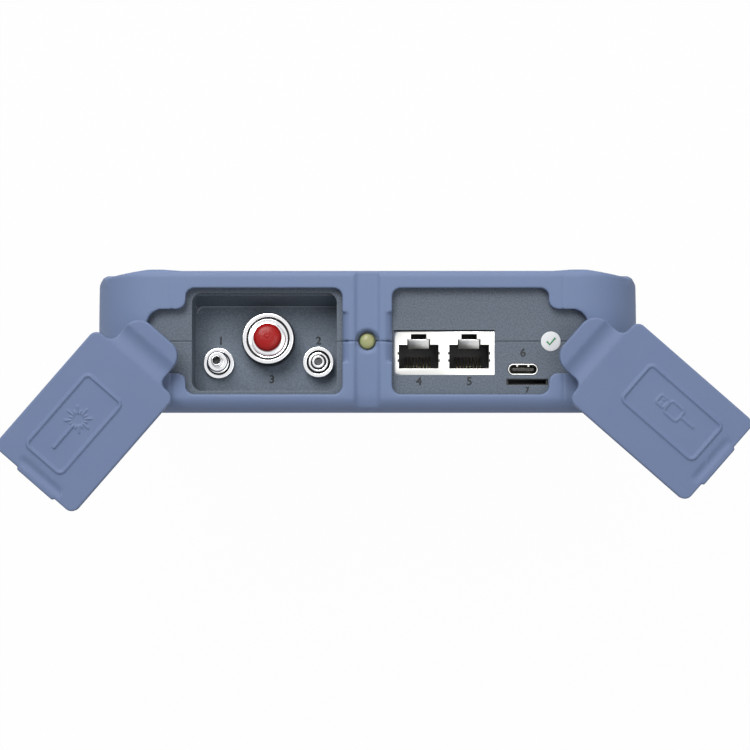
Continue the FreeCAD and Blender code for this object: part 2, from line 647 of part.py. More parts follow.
def optics():
    """Closed optical module on the main board and the spool of launch fibre beside it."""
    top = BOARD_FACE + MODULE_DEPTH
    hollow = grown(MODULE, -MODULE_WALL)
    module = box(*MODULE[:2], BOARD_FACE, top, *MODULE[2:])
    module = module.cut(box(*hollow[:2], BOARD_FACE + MODULE_WALL, top - 1.0, *hollow[2:]))
    save("optical_module", module)
    x, z, radius = SPOOL
    end = BOARD_FACE + SPOOL_DEPTH
    spool = rod_y(x, z, radius, BOARD_FACE, end)
    winding = rod_y(x, z, radius + 1, BOARD_FACE + 1.2, end - 1.2)
    winding = winding.cut(rod_y(x, z, SPOOL_HUB_R + 1.2, BOARD_FACE, end))
    spool = spool.cut([winding, rod_y(x, z, SPOOL_HUB_R, BOARD_FACE - 1, end + 1)])
    save("fibre_spool", spool.removeSplitter())


def display():
    glass = slab(GLASS, GLASS_R, CASE_FRONT, CASE_FRONT + GLASS_THICK)
    rim = grown(WINDOW, LCD_RIM)
    start = INNER_FRONT + GASKET_THICK
    gasket = slab(rim, 0.5, INNER_FRONT, start).cut(slab(WINDOW, 1.0, INNER_FRONT - 1, 0))
    panel = slab(rim, 0.5, start, start + LCD_THICK)
    save("screen_glass", glass)
    save("screen_gasket", gasket)
    save("lcd_module", panel)


def key_rect(index, gap=0.0):
    z = KEY_FIRST_Z + index * KEY_PITCH
    half_x = KEY_SIZE[0] / 2 + gap
    half_z = KEY_SIZE[1] / 2 + gap
    return (KEY_X - half_x, KEY_X + half_x, z - half_z, z + half_z)


def keys():
    flange_top = INNER_FRONT + RUN
    switch_top = flange_top + KEY_FLANGE + KEY_TRAVEL + 0.3
    switches = []
    for i, name in enumerate(KEY_NAMES):
        z = KEY_FIRST_Z + i * KEY_PITCH
        cap = slab(key_rect(i), KEY_R, CASE_FRONT - KEY_PROUD, flange_top)
        rim = slab(key_rect(i, KEY_RIM), KEY_R + KEY_RIM, flange_top, flange_top + KEY_FLANGE)
        save("key_" + name, cap.fuse(rim).removeSplitter())
        switches.append(box(KEY_X - 2.2, KEY_X + 2.2, switch_top, KEY_BOARD_FACE, z - 2.2, z + 2.2))
    save("key_switches", Part.makeCompound(switches))
    back = KEY_BOARD_FACE + KEY_BOARD_THICK
    save("key_board", box(*KEY_BOARD[:2], KEY_BOARD_FACE, back, *KEY_BOARD[2:]))


def stand():
    """Folding U-shaped stand, its legs rounded about the pivot."""
    outer, low, pivot = STAND
    frame = slab((-outer, outer, low, pivot + 9), STAND_R, CASE_BACK - STAND_THICK, CASE_BACK)
    frame = frame.common(box(-outer, outer, 0, FAR, 0, pivot))
    frame = frame.cut(box(-STAND_INNER, STAND_INNER, 0, FAR, low + STAND_LEG, HEIGHT))
    for start in (-outer, STAND_INNER):
        place = V(start, STAND_AXIS_Y, pivot)
        frame = frame.fuse(Part.makeCylinder(STAND_THICK / 2, STAND_LEG, place, V(1, 0, 0)))
        frame = frame.cut(Part.makeCylinder(STAND_PIN_R + PIN_FIT, STAND_LEG, place, V(1, 0, 0)))
    save("kickstand", frame.removeSplitter())
    save("kickstand_pins", Part.makeCompound([stand_pin(), mirrored(stand_pin())]))


def battery():
    sunk = CASE_BACK - 0.9
    door = slab(grown(DOOR, -0.05), 3.0, CASE_BACK - DOOR_THICK, CASE_BACK)
    screws = []
    for x, z in DOOR_SCREWS:
        door = door.cut([rod_y(x, z, SMALL_SCREW_R, 0, FAR), rod_y(x, z, 2.1, sunk, FAR)])
        shank = rod_y(x, z, SMALL_SCREW_R, INNER_BACK - 7.2, sunk)
        screws.append(shank.fuse(rod_y(x, z, 2.1, sunk, CASE_BACK)))
    save("battery_pack", slab(BATTERY, 0.3, WELL_FLOOR, CASE_BACK - DOOR_THICK))
    save("battery_door", door)
    save("door_screws", Part.makeCompound(screws))


def case_screws():
    radius, tall = CASE_SCREW_HEAD
    seat = CASE_BACK - tall - 0.2
    screws = [rod_y(x, z, CASE_SCREW_R, INNER_FRONT + 6.4, seat).fuse(
        rod_y(x, z, radius, seat, seat + tall)) for x, z in CASE_SCREWS]
    save("case_screws", Part.makeCompound(screws))


# Flaps


def flap_parts(under):
    """Right-hand flap in its closed direction, underside at the given height: tab, cover, stem."""
    whole = along_z(bay_face(FLAP_GAP_INNER, FLAP_GAP, FLAP_GAP_TAB), 0, FLAP_THICK)
    lip_x = BAY_INNER + FLAP_GAP_INNER
    lip = box(lip_x - LIP_REACH, lip_x + 3, FINGER_Y - FINGER_HALF + FLAP_GAP,
              FINGER_Y + FINGER_HALF - FLAP_GAP, FLAP_THICK - 1.8, FLAP_THICK)
    hinge_x = TAB_END - FLAP_GAP_TAB - HINGE_FROM_TAB
    spread = math.tan(math.radians(HINGE_BEVEL)) * (FLAP_THICK - HINGE_HEIGHT + 0.1)
    half = (HINGE_SPLIT, HINGE_SPLIT + spread)
    groove = across([(hinge_x - half[0], -1), (hinge_x + half[0], -1),
                     (hinge_x + half[0], HINGE_HEIGHT), (hinge_x + half[1], FLAP_THICK + 0.1),
                     (hinge_x - half[1], FLAP_THICK + 0.1), (hinge_x - half[0], HINGE_HEIGHT)])
    whole = whole.fuse(lip).removeSplitter().cut(groove)
    cover, tab = sorted(whole.Solids, key=lambda s: s.BoundBox.XMin)
    neck = rod_z(STEM_X, 0, STEM_NECK_R + PIN_FIT, -1, 1)
    hollow = rod_z(STEM_X, 0, STEM_CAP_R + 0.25, 0.7, 1.8)
    tab = tab.cut([neck, hollow])
    drop = under - STEM_HEAD_TOP
    stem = rod_z(STEM_X, 0, STEM_R, -drop, -0.3).fuse([
        rod_z(STEM_X, 0, STEM_NECK_R, -0.3, 1.0), rod_z(STEM_X, 0, STEM_CAP_R, 1.0, 1.5),
        Part.makeCone(2.2, STEM_HEAD_R, 1.6, V(STEM_X, 0, -drop - 1.6))])
    lift = V(0, 0, under)
    return [s.translated(lift) for s in (tab, cover, stem.removeSplitter())]


def skirt():
    """Sealing rim under the left cover, drawn for the right side before it is mirrored."""
    x0, x1, y0, y1 = -MOUTH[1] + 0.4, -MOUTH[0] - 0.4, MOUTH[2] + 0.4, MOUTH[3] - 0.4
    outer = along_z(rounded_rectangle(x0, x1, y0, y1, 2.6), -SKIRT, 0.5)
    return outer.cut(along_z(rounded_rectangle(x0 + 1.5, x1 - 1.5, y0 + 1.5, y1 - 1.5, 1.1), -9, 9))


def plugs():
    """Dust plugs under the right cover, one for each network socket."""
    result = []
    for centre in JACK_CENTRES:
        half = SOCKET_WIDTH / 2 - 0.4
        rect = (centre - half, centre + half, JACK_LOW + 0.4, JACK_LOW + SOCKET_STEPS[0] - 0.4)
        outer = along_z(rounded_rectangle(*rect, 0.8), -PLUG, 0.5)
        inner = rounded_rectangle(rect[0] + 1.4, rect[1] - 1.4, rect[2] + 1.4, rect[3] - 1.4, 0.5)
        result.append(outer.cut(along_z(inner, -PLUG - 1, -0.5)))
    return result


def flaps():
    for side, turn, extra, reach in (("left", LEFT_TURN, [skirt()], SKIRT),
                                     ("right", RIGHT_TURN, plugs(), PLUG)):
        under = HEIGHT + RUN + reach
        tab, cover, stem = flap_parts(under)
        cover = cover.fuse([e.translated(V(0, 0, under)) for e in extra]).removeSplitter()
        pivot = V(STEM_X, 0, 0)
        if side == "left":
            tab, cover, stem = mirrored(tab), mirrored(cover), mirrored(stem)
            pivot = V(-STEM_X, 0, 0)
        for name, shape in (("tab", tab), ("cover", cover), ("stem", stem)):
            placed = shape.copy()
            placed.rotate(pivot, V(0, 0, 1), turn)
            save(side + "_flap_" + name, placed)


def main():
    rubber = bumper()
    save("front_bumper", front_half(rubber))
    save("rear_bumper", back_half(rubber))
    save("front_shell", front_shell())
    save("rear_shell", rear_shell())
    save("port_tray", port_tray())
    otdr_port()
    small_ports()
    network_jack()
    small_sockets()
    torch()
    circuit_boards()
    optics()
    display()
    keys()
    stand()
    battery()
    case_screws()
    save("seal_label", rod_z(SEAL[0], 0, SEAL[1], CASE_TOP, CASE_TOP + SEAL[2]))
    flaps()


main()
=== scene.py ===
import json
import math

import bmesh
import bpy
from mathutils import Matrix, Vector


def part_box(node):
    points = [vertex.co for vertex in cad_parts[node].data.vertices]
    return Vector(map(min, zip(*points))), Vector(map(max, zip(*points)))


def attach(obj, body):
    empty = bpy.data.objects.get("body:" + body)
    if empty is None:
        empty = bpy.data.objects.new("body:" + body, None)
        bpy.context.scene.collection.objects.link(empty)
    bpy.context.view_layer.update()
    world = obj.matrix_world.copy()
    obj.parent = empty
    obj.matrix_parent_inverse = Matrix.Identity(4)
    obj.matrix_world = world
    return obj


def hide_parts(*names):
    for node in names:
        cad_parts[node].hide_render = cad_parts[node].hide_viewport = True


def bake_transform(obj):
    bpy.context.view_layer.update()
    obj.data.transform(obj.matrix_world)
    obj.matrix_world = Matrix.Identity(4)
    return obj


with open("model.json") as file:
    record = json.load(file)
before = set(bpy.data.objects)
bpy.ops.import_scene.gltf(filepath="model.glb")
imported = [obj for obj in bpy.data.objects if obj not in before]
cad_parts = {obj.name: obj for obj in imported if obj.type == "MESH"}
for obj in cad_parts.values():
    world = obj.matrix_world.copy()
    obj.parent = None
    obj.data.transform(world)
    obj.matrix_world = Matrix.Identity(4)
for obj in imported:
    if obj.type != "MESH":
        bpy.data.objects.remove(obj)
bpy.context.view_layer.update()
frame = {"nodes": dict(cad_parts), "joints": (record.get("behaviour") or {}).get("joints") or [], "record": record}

# Looks of a handheld optical time domain reflectometer that stands on its bottom end.
# Everything is in metres, +Z up to the connector end, -Y towards the screen.

MM = 0.001
NODES = frame["nodes"]

# Places read from the frame
CASE_SIDE, CASE_BACK, CASE_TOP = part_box("rear_shell")[1]
BODY_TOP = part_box("rear_bumper")[1].z
PANEL_LOW, PANEL_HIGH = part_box("lcd_module")
JACK_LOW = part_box("rj45_shield")[0]
USB_LOW, USB_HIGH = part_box("usb_c_shell")
DOOR_LOW, DOOR_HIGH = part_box("battery_door")
STAND_LOW, STAND_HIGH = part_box("kickstand")

JACK_CENTRES = (JACK_LOW.x + 7.5 * MM, JACK_LOW.x + 22.75 * MM)
JACK_SILL = JACK_LOW.y + 1.9 * MM
CONTACT_STEP = 1.02 * MM
RIB_STEP = 1.9 * MM
KEY_NAMES = ("back", "down", "ok", "up", "light", "power")

# Optical ports: place of each axis on the floor of the pocket, which leans with the ports
PORT_TILT = math.radians(5.0)
POCKET_DEPTH = 12.0 * MM
OTDR_PLACE = (-30.3 * MM, 0.5 * MM)
VFL_PLACE = (-45.7 * MM, -6.5 * MM)
OPM_PLACE = (-15.0 * MM, -6.4 * MM)
POCKET_EDGE = (-52.7 * MM, -9.3 * MM, 11.2 * MM)

# Rubber round the connector end
BUMPER_VOXEL = 0.36 * MM
HALVES_GAP = 0.12 * MM
FINGER_LOW = -6.4 * MM
FINGER_HIGH = 8.8 * MM
CHANNEL_HALF = 4.6 * MM
CHANNEL_START = 4.0 * MM
CHANNEL_REACH = 13.0 * MM
CHANNEL_SINK = 0.9 * MM
CREST_Y = -16.9 * MM
CREST_REACH = 4.2 * MM
CREST_FALL = 1.7 * MM
SINK_BELOW = 10.0 * MM
SINK_REACH = 7.0 * MM
CORNER_ROUND = 13.0 * MM
SEAT_RADII = (2.75 * MM, 3.75 * MM)
SEAT_LOW = 3.0 * MM
SEAT_HIGH = 1.15 * MM
SEAT_STEPS = 16

# Flaps, drawn closed on the right-hand side and turned open about their stems
# A rectangle is given as its lowest x, highest x, lowest y and highest y
FLAP_INNER = 8.1 * MM
FLAP_OUTER = 54.35 * MM
FLAP_HALF = 15.65 * MM
TAB_TIP = 65.9 * MM
TAB_HALF = 9.35 * MM
FLAP_THICK = 3.0 * MM
HINGE_X = 58.2 * MM
LIP_REACH = 0.7 * MM
FLAP_VOXEL = 0.2 * MM
HINGE_PRESS = 1.05 * MM
HINGE_SPREAD = 3.6 * MM
SCOOP_PRESS = 0.5 * MM
SCOOP_SPREAD = 1.8 * MM
SCOOP_X = 10.6 * MM
SCOOP_Y = 1.2 * MM
SCOOP_HALF = 8.5 * MM
SIGN_FRAME = (14.8 * MM, 42.7 * MM, -8.6 * MM, 5.2 * MM)
BURST_PLACE = (30.6 * MM, -1.6 * MM)
BURST_RAYS = 16
PLUG_SIGN_Y = -2.4 * MM
SWIVELS = {j["name"].split("_")[0]: j for j in frame["joints"] if j["name"].endswith("_swivel")}
STEM_X = SWIVELS["right"]["pos_m"][0]
FLAP_TURN = {"left": math.radians(SWIVELS["left"]["range_deg"][0]),
             "right": -math.radians(SWIVELS["right"]["range_deg"][0])}

# Angles in degrees: up to two of them neighbouring faces are shaded as one, and an edge
# sharper than the third is bevelled
CRISP = 38.0
MOULDED = 60.0
HARD_EDGE = 35.0

# Numbers of the sockets that a mix of two colours uses
MIX_AMOUNT, MIX_FIRST, MIX_SECOND, MIX_RESULT = 0, 6, 7, 2

# Sizes of the printed numbers, and which one is small
NUMBER_SIZE = 3.4 * MM
SMALL_NUMBER_SIZE = 2.2 * MM
SMALL_NUMBERS = ("7",)


def srgb(red, green, blue):
    """Linear colour from display values between 0 and 255."""
    channels = []
    for value in (red, green, blue):
        value /= 255
        channels.append(value / 12.92 if value < 0.04045 else ((value + 0.055) / 1.055) ** 2.4)
    return (*channels, 1.0)


def toned(colour, factor):
    """Colour made darker or lighter by a factor."""
    return tuple(held(channel * factor) for channel in colour[:3]) + (1.0,)


def mm(*values):
    """Metres from millimetres."""
    return tuple(value * MM for value in values)


def held(value):
    """The value, kept between 0 and 1."""
    return min(1.0, max(0.0, value))


class Nodes:
    """Adds nodes to a tree and joins their sockets."""

    def __init__(self, tree):
        self.tree = tree

    def fill(self, node, inputs):
        """Link or set inputs of a node, given by name or number."""
        for name, value in inputs.items():
            if isinstance(value, bpy.types.NodeSocket):
                self.tree.links.new(value, node.inputs[name])
            else:
                node.inputs[name].default_value = value

    def add(self, kind, inputs=None, **settings):
        """New node with its settings and inputs."""
        node = self.tree.nodes.new(kind)
        for name, value in settings.items():
            setattr(node, name, value)
        self.fill(node, inputs or {})
        return node

    def maths(self, operation, first, second=0.5, third=0.0, clamp=False):
        """Result of a sum or another operation on up to three values."""
        inputs = {0: first, 1: second, 2: third}
        return self.add("ShaderNodeMath", inputs, operation=operation, use_clamp=clamp).outputs[0]

    def blend(self, amount, first, second):
        """Colour between the first and the second one."""
        inputs = {MIX_AMOUNT: amount, MIX_FIRST: first, MIX_SECOND: second}
        return self.add("ShaderNodeMix", inputs, data_type="RGBA").outputs[MIX_RESULT]


def empty_nodes(owner):
    """Nodes of a material or a world, emptied."""
    owner.use_nodes = True
    owner.node_tree.nodes.clear()
    return Nodes(owner.node_tree)


# Shared surface effects


def effect_group(name, inputs, outputs):
    """Empty shader group with named value inputs and the given outputs."""
    tree = bpy.data.node_groups.new(name, "ShaderNodeTree")
    for label, value in inputs.items():
        socket = tree.interface.new_socket(label, in_out="INPUT", socket_type="NodeSocketFloat")
        socket.default_value = value
    for label, kind in outputs.items():
        tree.interface.new_socket(label, in_out="OUTPUT", socket_type="NodeSocket" + kind)
    nodes = Nodes(tree)
    return nodes, nodes.add("NodeGroupInput"), nodes.add("NodeGroupOutput")


def in_millimetres(nodes):
    """Place on the piece in millimetres, for its patterns."""
    place = nodes.add("ShaderNodeTexCoord").outputs["Object"]
    scale = {0: place, 1: (1000.0, 1000.0, 1000.0)}
    return nodes.add("ShaderNodeVectorMath", scale, operation="MULTIPLY").outputs[0]


def moulded_grain():
    """Fine spark-eroded grain of a mould, with a slow change of tone over the surface."""
    nodes, given, result = effect_group("moulded grain", {"Per mm": 3.0, "Cloud per mm": 0.05},
                                        {"Height": "Float", "Tone": "Float"})
    place = in_millimetres(nodes)
    fine = nodes.add("ShaderNodeTexNoise", {"Vector": place, "Scale": given.outputs["Per mm"],
                                            "Detail": 3.0, "Roughness": 0.6})
    cells = nodes.add("ShaderNodeTexVoronoi", {"Vector": place,
                                               "Scale": given.outputs["Per mm"]})
    cloud = nodes.add("ShaderNodeTexNoise", {"Vector": place, "Detail": 4.0,
                                             "Scale": given.outputs["Cloud per mm"]})
    height = nodes.maths("MULTIPLY_ADD", cells.outputs["Distance"], 0.5, fine.outputs["Fac"])
    nodes.fill(result, {"Height": height, "Tone": cloud.outputs["Fac"]})
    return nodes.tree


def worn_and_highlit_edges():
    """Softened normal at edges, and a broken mask of the edges that marks both where hands have rubbed them and
    where a painted edge highlight goes.
    """
    gain = 4.0
    nodes, given, result = effect_group("worn and highlit edges", {"Radius": 0.3 * MM, "Broken per mm": 0.8},
                                        {"Normal": "Vector", "Mask": "Float"})
    soft = nodes.add("ShaderNodeBevel", {"Radius": given.outputs["Radius"]}, samples=6)
    flat = nodes.add("ShaderNodeNewGeometry")
    inputs = {0: soft.outputs[0], 1: flat.outputs["Normal"]}
    facing = nodes.add("ShaderNodeVectorMath", inputs, operation="DOT_PRODUCT").outputs["Value"]
    edge = nodes.maths("MULTIPLY", nodes.maths("SUBTRACT", 1.0, facing), gain, clamp=True)
    broken = nodes.add("ShaderNodeTexNoise", {"Vector": in_millimetres(nodes), "Detail": 4.0,
                                              "Scale": given.outputs["Broken per mm"]})
    mask = nodes.maths("MULTIPLY", edge, broken.outputs["Fac"])
    nodes.fill(result, {"Mask": mask, "Normal": soft.outputs[0]})
    return nodes.tree


def light_dust():
    """Thin uneven film of dust, in patches and specks."""
    nodes, given, result = effect_group("light dust", {"Cover": 0.5}, {"Mask": "Float"})
    place = in_millimetres(nodes)
    patch = nodes.add("ShaderNodeTexNoise", {"Vector": place, "Scale": 0.12, "Detail": 6.0})
    speck = nodes.add("ShaderNodeTexNoise", {"Vector": place, "Scale": 2.5, "Detail": 2.0})
    both = nodes.maths("MULTIPLY", patch.outputs["Fac"], speck.outputs["Fac"])
    nodes.fill(result, {"Mask": nodes.maths("MULTIPLY", both, given.outputs["Cover"])})
    return nodes.tree


def turning_marks():
    """Fine uneven lines left by a lathe or a brush, along one direction."""
    nodes, given, result = effect_group("turning marks", {"Per mm": 12.0, "Stretch": 0.04},
                                        {"Height": "Float"})
    place = in_millimetres(nodes)
    stretch = nodes.add("ShaderNodeCombineXYZ", {"X": given.outputs["Stretch"],
                                                 "Y": given.outputs["Stretch"], "Z": 1.0})
    inputs = {0: place, 1: stretch.outputs[0]}
    drawn = nodes.add("ShaderNodeVectorMath", inputs, operation="MULTIPLY").outputs[0]
    lines = nodes.add("ShaderNodeTexNoise", {"Vector": drawn, "Scale": given.outputs["Per mm"],
                                             "Detail": 3.0})
    nodes.fill(result, {"Height": lines.outputs["Fac"]})
    return nodes.tree


GRAIN = moulded_grain()
EDGES = worn_and_highlit_edges()
DUST = light_dust()
MARKS = turning_marks()


# Materials


def new_material(name):
    """Material with its nodes and the one shader that its output shows."""
    material = bpy.data.materials.new(name)
    nodes = empty_nodes(material)
    shader = nodes.add("ShaderNodeBsdfPrincipled")
    nodes.add("ShaderNodeOutputMaterial", {"Surface": shader.outputs[0]})
    return material, nodes, shader


def use_group(nodes, tree, **values):
    """Outputs of a shared effect, placed in a material with its own values."""
    group = nodes.add("ShaderNodeGroup", None, node_tree=tree)
    for name, value in values.items():
        group.inputs[name.replace("_", " ")].default_value = value
    return group.outputs


def moulded(name, colour, rough=0.55, grain=3.0, depth=0.012, soften=0.3, spread=0.12,
            wear_and_highlight=0.25, dust=0.25, specular=0.4, speckle=0.0):
    """Moulded plastic or rubber: grained, cloudy in tone, lightly dusty, and paler on edges, partly as rubbed wear
    and partly as a painted edge highlight.
    """
    material, nodes, shader = new_material(name)
    surface = use_group(nodes, GRAIN, Per_mm=grain)
    edges = use_group(nodes, EDGES, Radius=soften * MM)
    film = use_group(nodes, DUST, Cover=dust)
    uneven = 0.16
    # Edge colour towards pale grey: rubbed wear, and at high amounts a painted edge highlight
    rubbed_or_lit = tuple(c + (0.6 - c) * wear_and_highlight for c in colour[:3]) + (1.0,)
    base = nodes.blend(surface["Tone"], toned(colour, 1 - spread), toned(colour, 1 + spread))
    if speckle:
        spots = nodes.add("ShaderNodeTexNoise", {"Vector": in_millimetres(nodes), "Scale": 2.0,
                                                 "Detail": 2.0, "Roughness": 0.7})
        pale = nodes.maths("MULTIPLY_ADD", spots.outputs["Fac"], 5.0, -2.0, clamp=True)
        tint = nodes.maths("MULTIPLY", pale, speckle)
        base = nodes.blend(tint, base, toned(colour, 2.6))
    base = nodes.blend(edges["Mask"], base, rubbed_or_lit)
    base = nodes.blend(film["Mask"], base, srgb(150, 150, 148))
    roughness = nodes.maths("MULTIPLY_ADD", surface["Height"], uneven, rough - uneven / 2)
    bump = nodes.add("ShaderNodeBump", {"Height": surface["Height"], "Normal": edges["Normal"],
                                        "Strength": 1.0, "Distance": depth * MM})
    nodes.fill(shader, {"Base Color": base, "Roughness": roughness, "Normal": bump.outputs[0],
                        "Specular IOR Level": specular})
    return material


def metal(name, colour, rough=0.2, marks=12.0, depth=0.0015, stretch=0.04):
    """Turned or rolled metal with fine marks, handled edges and a faint uneven tarnish."""
    material, nodes, shader = new_material(name)
    lines = use_group(nodes, MARKS, Per_mm=marks, Stretch=stretch)
    edges = use_group(nodes, EDGES, Radius=0.12 * MM)
    film = use_group(nodes, DUST, Cover=0.6)
    uneven = 0.12
    tarnish = 0.15
    base = nodes.blend(film["Mask"], colour, toned(colour, 1 - tarnish))
    roughness = nodes.maths("MULTIPLY_ADD", lines["Height"], uneven, rough - uneven / 2)
    bump = nodes.add("ShaderNodeBump", {"Height": lines["Height"], "Normal": edges["Normal"],
                                        "Strength": 1.0, "Distance": depth * MM})
    nodes.fill(shader, {"Base Color": base, "Roughness": roughness, "Normal": bump.outputs[0],
                        "Metallic": 1.0})
    return material


def printed(name, colour, rough=0.5):
    """Printed or moulded-in mark with hardly any grain."""
    return moulded(name, colour, rough=rough, grain=4.0, depth=0.004, wear_and_highlight=0.0)


def clear_lens():
    """Yellowish epoxy of the torch's light, cloudy inside."""
    material = moulded("led lens", srgb(154, 158, 108), rough=0.34, grain=1.0, depth=0.002,
                       spread=0.2, wear_and_highlight=0.1, dust=0.1, specular=0.35)
    shader = next(n for n in material.node_tree.nodes if n.type == "BSDF_PRINCIPLED")
    shader.inputs["Subsurface Weight"].default_value = 0.3
    shader.inputs["Subsurface Scale"].default_value = 1.0 * MM
    shader.inputs["Coat Weight"].default_value = 0.15
    return material


def screen_cover():
    """Cover glass with faint smears, its black printed border round the dark display."""
    material, nodes, shader = new_material("screen glass")
    place = in_millimetres(nodes)
    smear = nodes.add("ShaderNodeTexNoise", {"Vector": place, "Scale": 0.06, "Detail": 7.0,
                                             "Distortion": 0.8})
    roughness = nodes.maths("MULTIPLY_ADD", smear.outputs["Fac"], 0.1, 0.03)
    part = nodes.add("ShaderNodeSeparateXYZ", {0: place})
    middle = (PANEL_LOW + PANEL_HIGH) / 2 / MM
    half = (PANEL_HIGH - PANEL_LOW) / 2 / MM
    beyond = []
    for axis, centre, reach in (("X", middle.x, half.x - 2.5), ("Z", middle.z, half.z - 2.0)):
        away = nodes.maths("ABSOLUTE", nodes.maths("SUBTRACT", part.outputs[axis], centre))
        beyond.append(nodes.maths("SUBTRACT", away, reach))
    outside = nodes.maths("MAXIMUM", *beyond)
    window = nodes.maths("MULTIPLY_ADD", outside, -4.0, 0.5, clamp=True)
    dark = nodes.blend(smear.outputs["Fac"], srgb(24, 29, 35), srgb(34, 40, 47))
    tint = nodes.blend(window, srgb(7, 8, 9), dark)
    nodes.fill(shader, {"Base Color": tint, "Roughness": roughness, "Specular IOR Level": 0.35})
    return material


def board_laminate():
    """Green circuit board with its woven glass showing and tracks under the lacquer."""
    material, nodes, shader = new_material("circuit board")
    place = in_millimetres(nodes)
    lacquer = {"Color1": srgb(24, 84, 52), "Color2": srgb(20, 72, 46), "Mortar": srgb(42, 110, 66)}
    tracks = nodes.add("ShaderNodeTexBrick", {"Vector": place, "Scale": 0.6, **lacquer})
    weave = nodes.add("ShaderNodeTexWave", {"Vector": place, "Scale": 3.0, "Distortion": 1.0})
    bump = nodes.add("ShaderNodeBump", {"Height": weave.outputs["Fac"], "Strength": 0.4,
                                        "Distance": 0.01 * MM})
    nodes.fill(shader, {"Base Color": tracks.outputs["Color"], "Roughness": 0.35,
                        "Normal": bump.outputs[0]})
    return material


MATERIALS = {
    # The high edge amount of the blue rubber paints pale edge highlights as well as wear
    "blue_rubber": moulded("blue rubber", srgb(102, 119, 153), rough=0.6, grain=5.0, depth=0.006,
                           soften=0.5, spread=0.04, wear_and_highlight=0.6, dust=0.12, specular=0.4),
    "grey_plastic": moulded("grey plastic", srgb(78, 87, 98), rough=0.62, grain=2.6, depth=0.05,
                            soften=0.3, spread=0.1, wear_and_highlight=0.35, dust=0.1, speckle=0.3),
    # Tray grey is paler than the housing grey as painted light, to lift the shaded pocket floor
    "tray_plastic": moulded("tray plastic with painted light", srgb(83, 93, 105), rough=0.6, grain=3.2, depth=0.03,
                            soften=0.4, spread=0.1, wear_and_highlight=0.35, dust=0.08, speckle=0.24),
    "nickel": metal("nickel", srgb(226, 226, 228), rough=0.16),
    "ceramic": moulded("ceramic", srgb(232, 230, 224), rough=0.2, grain=8.0, depth=0.001,
                       soften=0.1, spread=0.02, wear_and_highlight=0.0, dust=0.05, specular=0.6),
    "chrome": metal("chrome", srgb(236, 237, 240), rough=0.09, depth=0.0008),
    "black_metal": metal("black metal", srgb(66, 68, 72), rough=0.3, marks=8.0, depth=0.003),
    "red_rubber": moulded("red rubber", srgb(152, 8, 8), rough=0.24, grain=0.9, depth=0.05,
                          soften=0.3, spread=0.1, wear_and_highlight=0.03, dust=0.04, specular=0.25),
    "tin_steel": metal("tinned steel", srgb(235, 235, 232), rough=0.3, marks=6.0, stretch=0.3),
    "black_plastic": moulded("black plastic", srgb(26, 27, 29), rough=0.45, grain=4.0,
                             depth=0.01, soften=0.12, wear_and_highlight=0.15, dust=0.3),
    "gold": metal("gold plating", srgb(220, 208, 176), rough=0.3, depth=0.001),
    "led_lens": clear_lens(),
    "circuit_board": board_laminate(),
    "screw_steel": metal("screw steel", srgb(70, 72, 76), rough=0.3, marks=7.0),
    "module_aluminium": metal("module aluminium", srgb(190, 192, 196), rough=0.38, marks=5.0,
                              stretch=0.02),
    "white_plastic": moulded("white plastic", srgb(226, 226, 222), rough=0.4, dust=0.2),
    "battery_wrap": moulded("battery wrap", srgb(40, 60, 110), rough=0.32, grain=1.2, depth=0.02,
                            wear_and_highlight=0.1),
    "screen_glass": screen_cover(),
    "black_foam": moulded("black foam", srgb(22, 22, 23), rough=0.9, grain=6.0, depth=0.08),
    "display": moulded("display panel", srgb(18, 20, 24), rough=0.12, grain=9.0, depth=0.001,
                       wear_and_highlight=0.0, dust=0.05, specular=0.6),
    "switch_metal": metal("switch metal", srgb(200, 200, 198), rough=0.3),
    "stand_plastic": moulded("stand plastic", srgb(62, 69, 78), rough=0.58, grain=2.6,
                             depth=0.045, soften=0.5, wear_and_highlight=0.4),
    "door_plastic": moulded("door plastic", srgb(76, 84, 94), rough=0.6, grain=2.6, depth=0.05,
                            soften=0.4, wear_and_highlight=0.35),
    "label_white": moulded("label white", srgb(226, 228, 230), rough=0.45, grain=2.0,
                           depth=0.006, wear_and_highlight=0.0, dust=0.35),
    "key_rubber": moulded("key rubber", srgb(66, 74, 86), rough=0.5, grain=4.0, depth=0.01,
                          soften=0.5, wear_and_highlight=0.3, dust=0.2),
}
# The near-full edge amount of the flap rubber paints pale highlights round the flap's edges
FLAP_RUBBER = moulded("flap rubber", srgb(97, 113, 147), rough=0.58, grain=5.0, depth=0.006,
                      soften=0.35, spread=0.04, wear_and_highlight=0.9, dust=0.12, specular=0.35)
# Paler grey of the pocket lip: a painted highlight along that line
LEDGE_HIGHLIGHT_GREY = moulded("ledge painted highlight", srgb(118, 126, 138), rough=0.5, grain=3.2, depth=0.01,
                     wear_and_highlight=0.2)
PORT_MARK = printed("port mark", srgb(26, 29, 34), rough=0.6)
KEY_MARK = printed("key mark", srgb(214, 216, 218))
SEAL_MARK = printed("seal mark", srgb(70, 150, 96))
# Black for faces deep in the ports' grooves and bores: painted shade
GROOVE_SHADE_BLACK = moulded("painted groove shade", srgb(12, 12, 13), rough=0.8, grain=4.0, depth=0.01, wear_and_highlight=0.0)

SLOT_OF_NODE = {part["node"]: part["material_slot"] for part in frame["record"]["subparts"]}


# Making pieces


def new_object(name, data):
    """Object in the scene, for its data or to carry modifiers until its mesh is taken."""
    item = bpy.data.objects.new(name, data)
    bpy.context.scene.collection.objects.link(item)
    return item


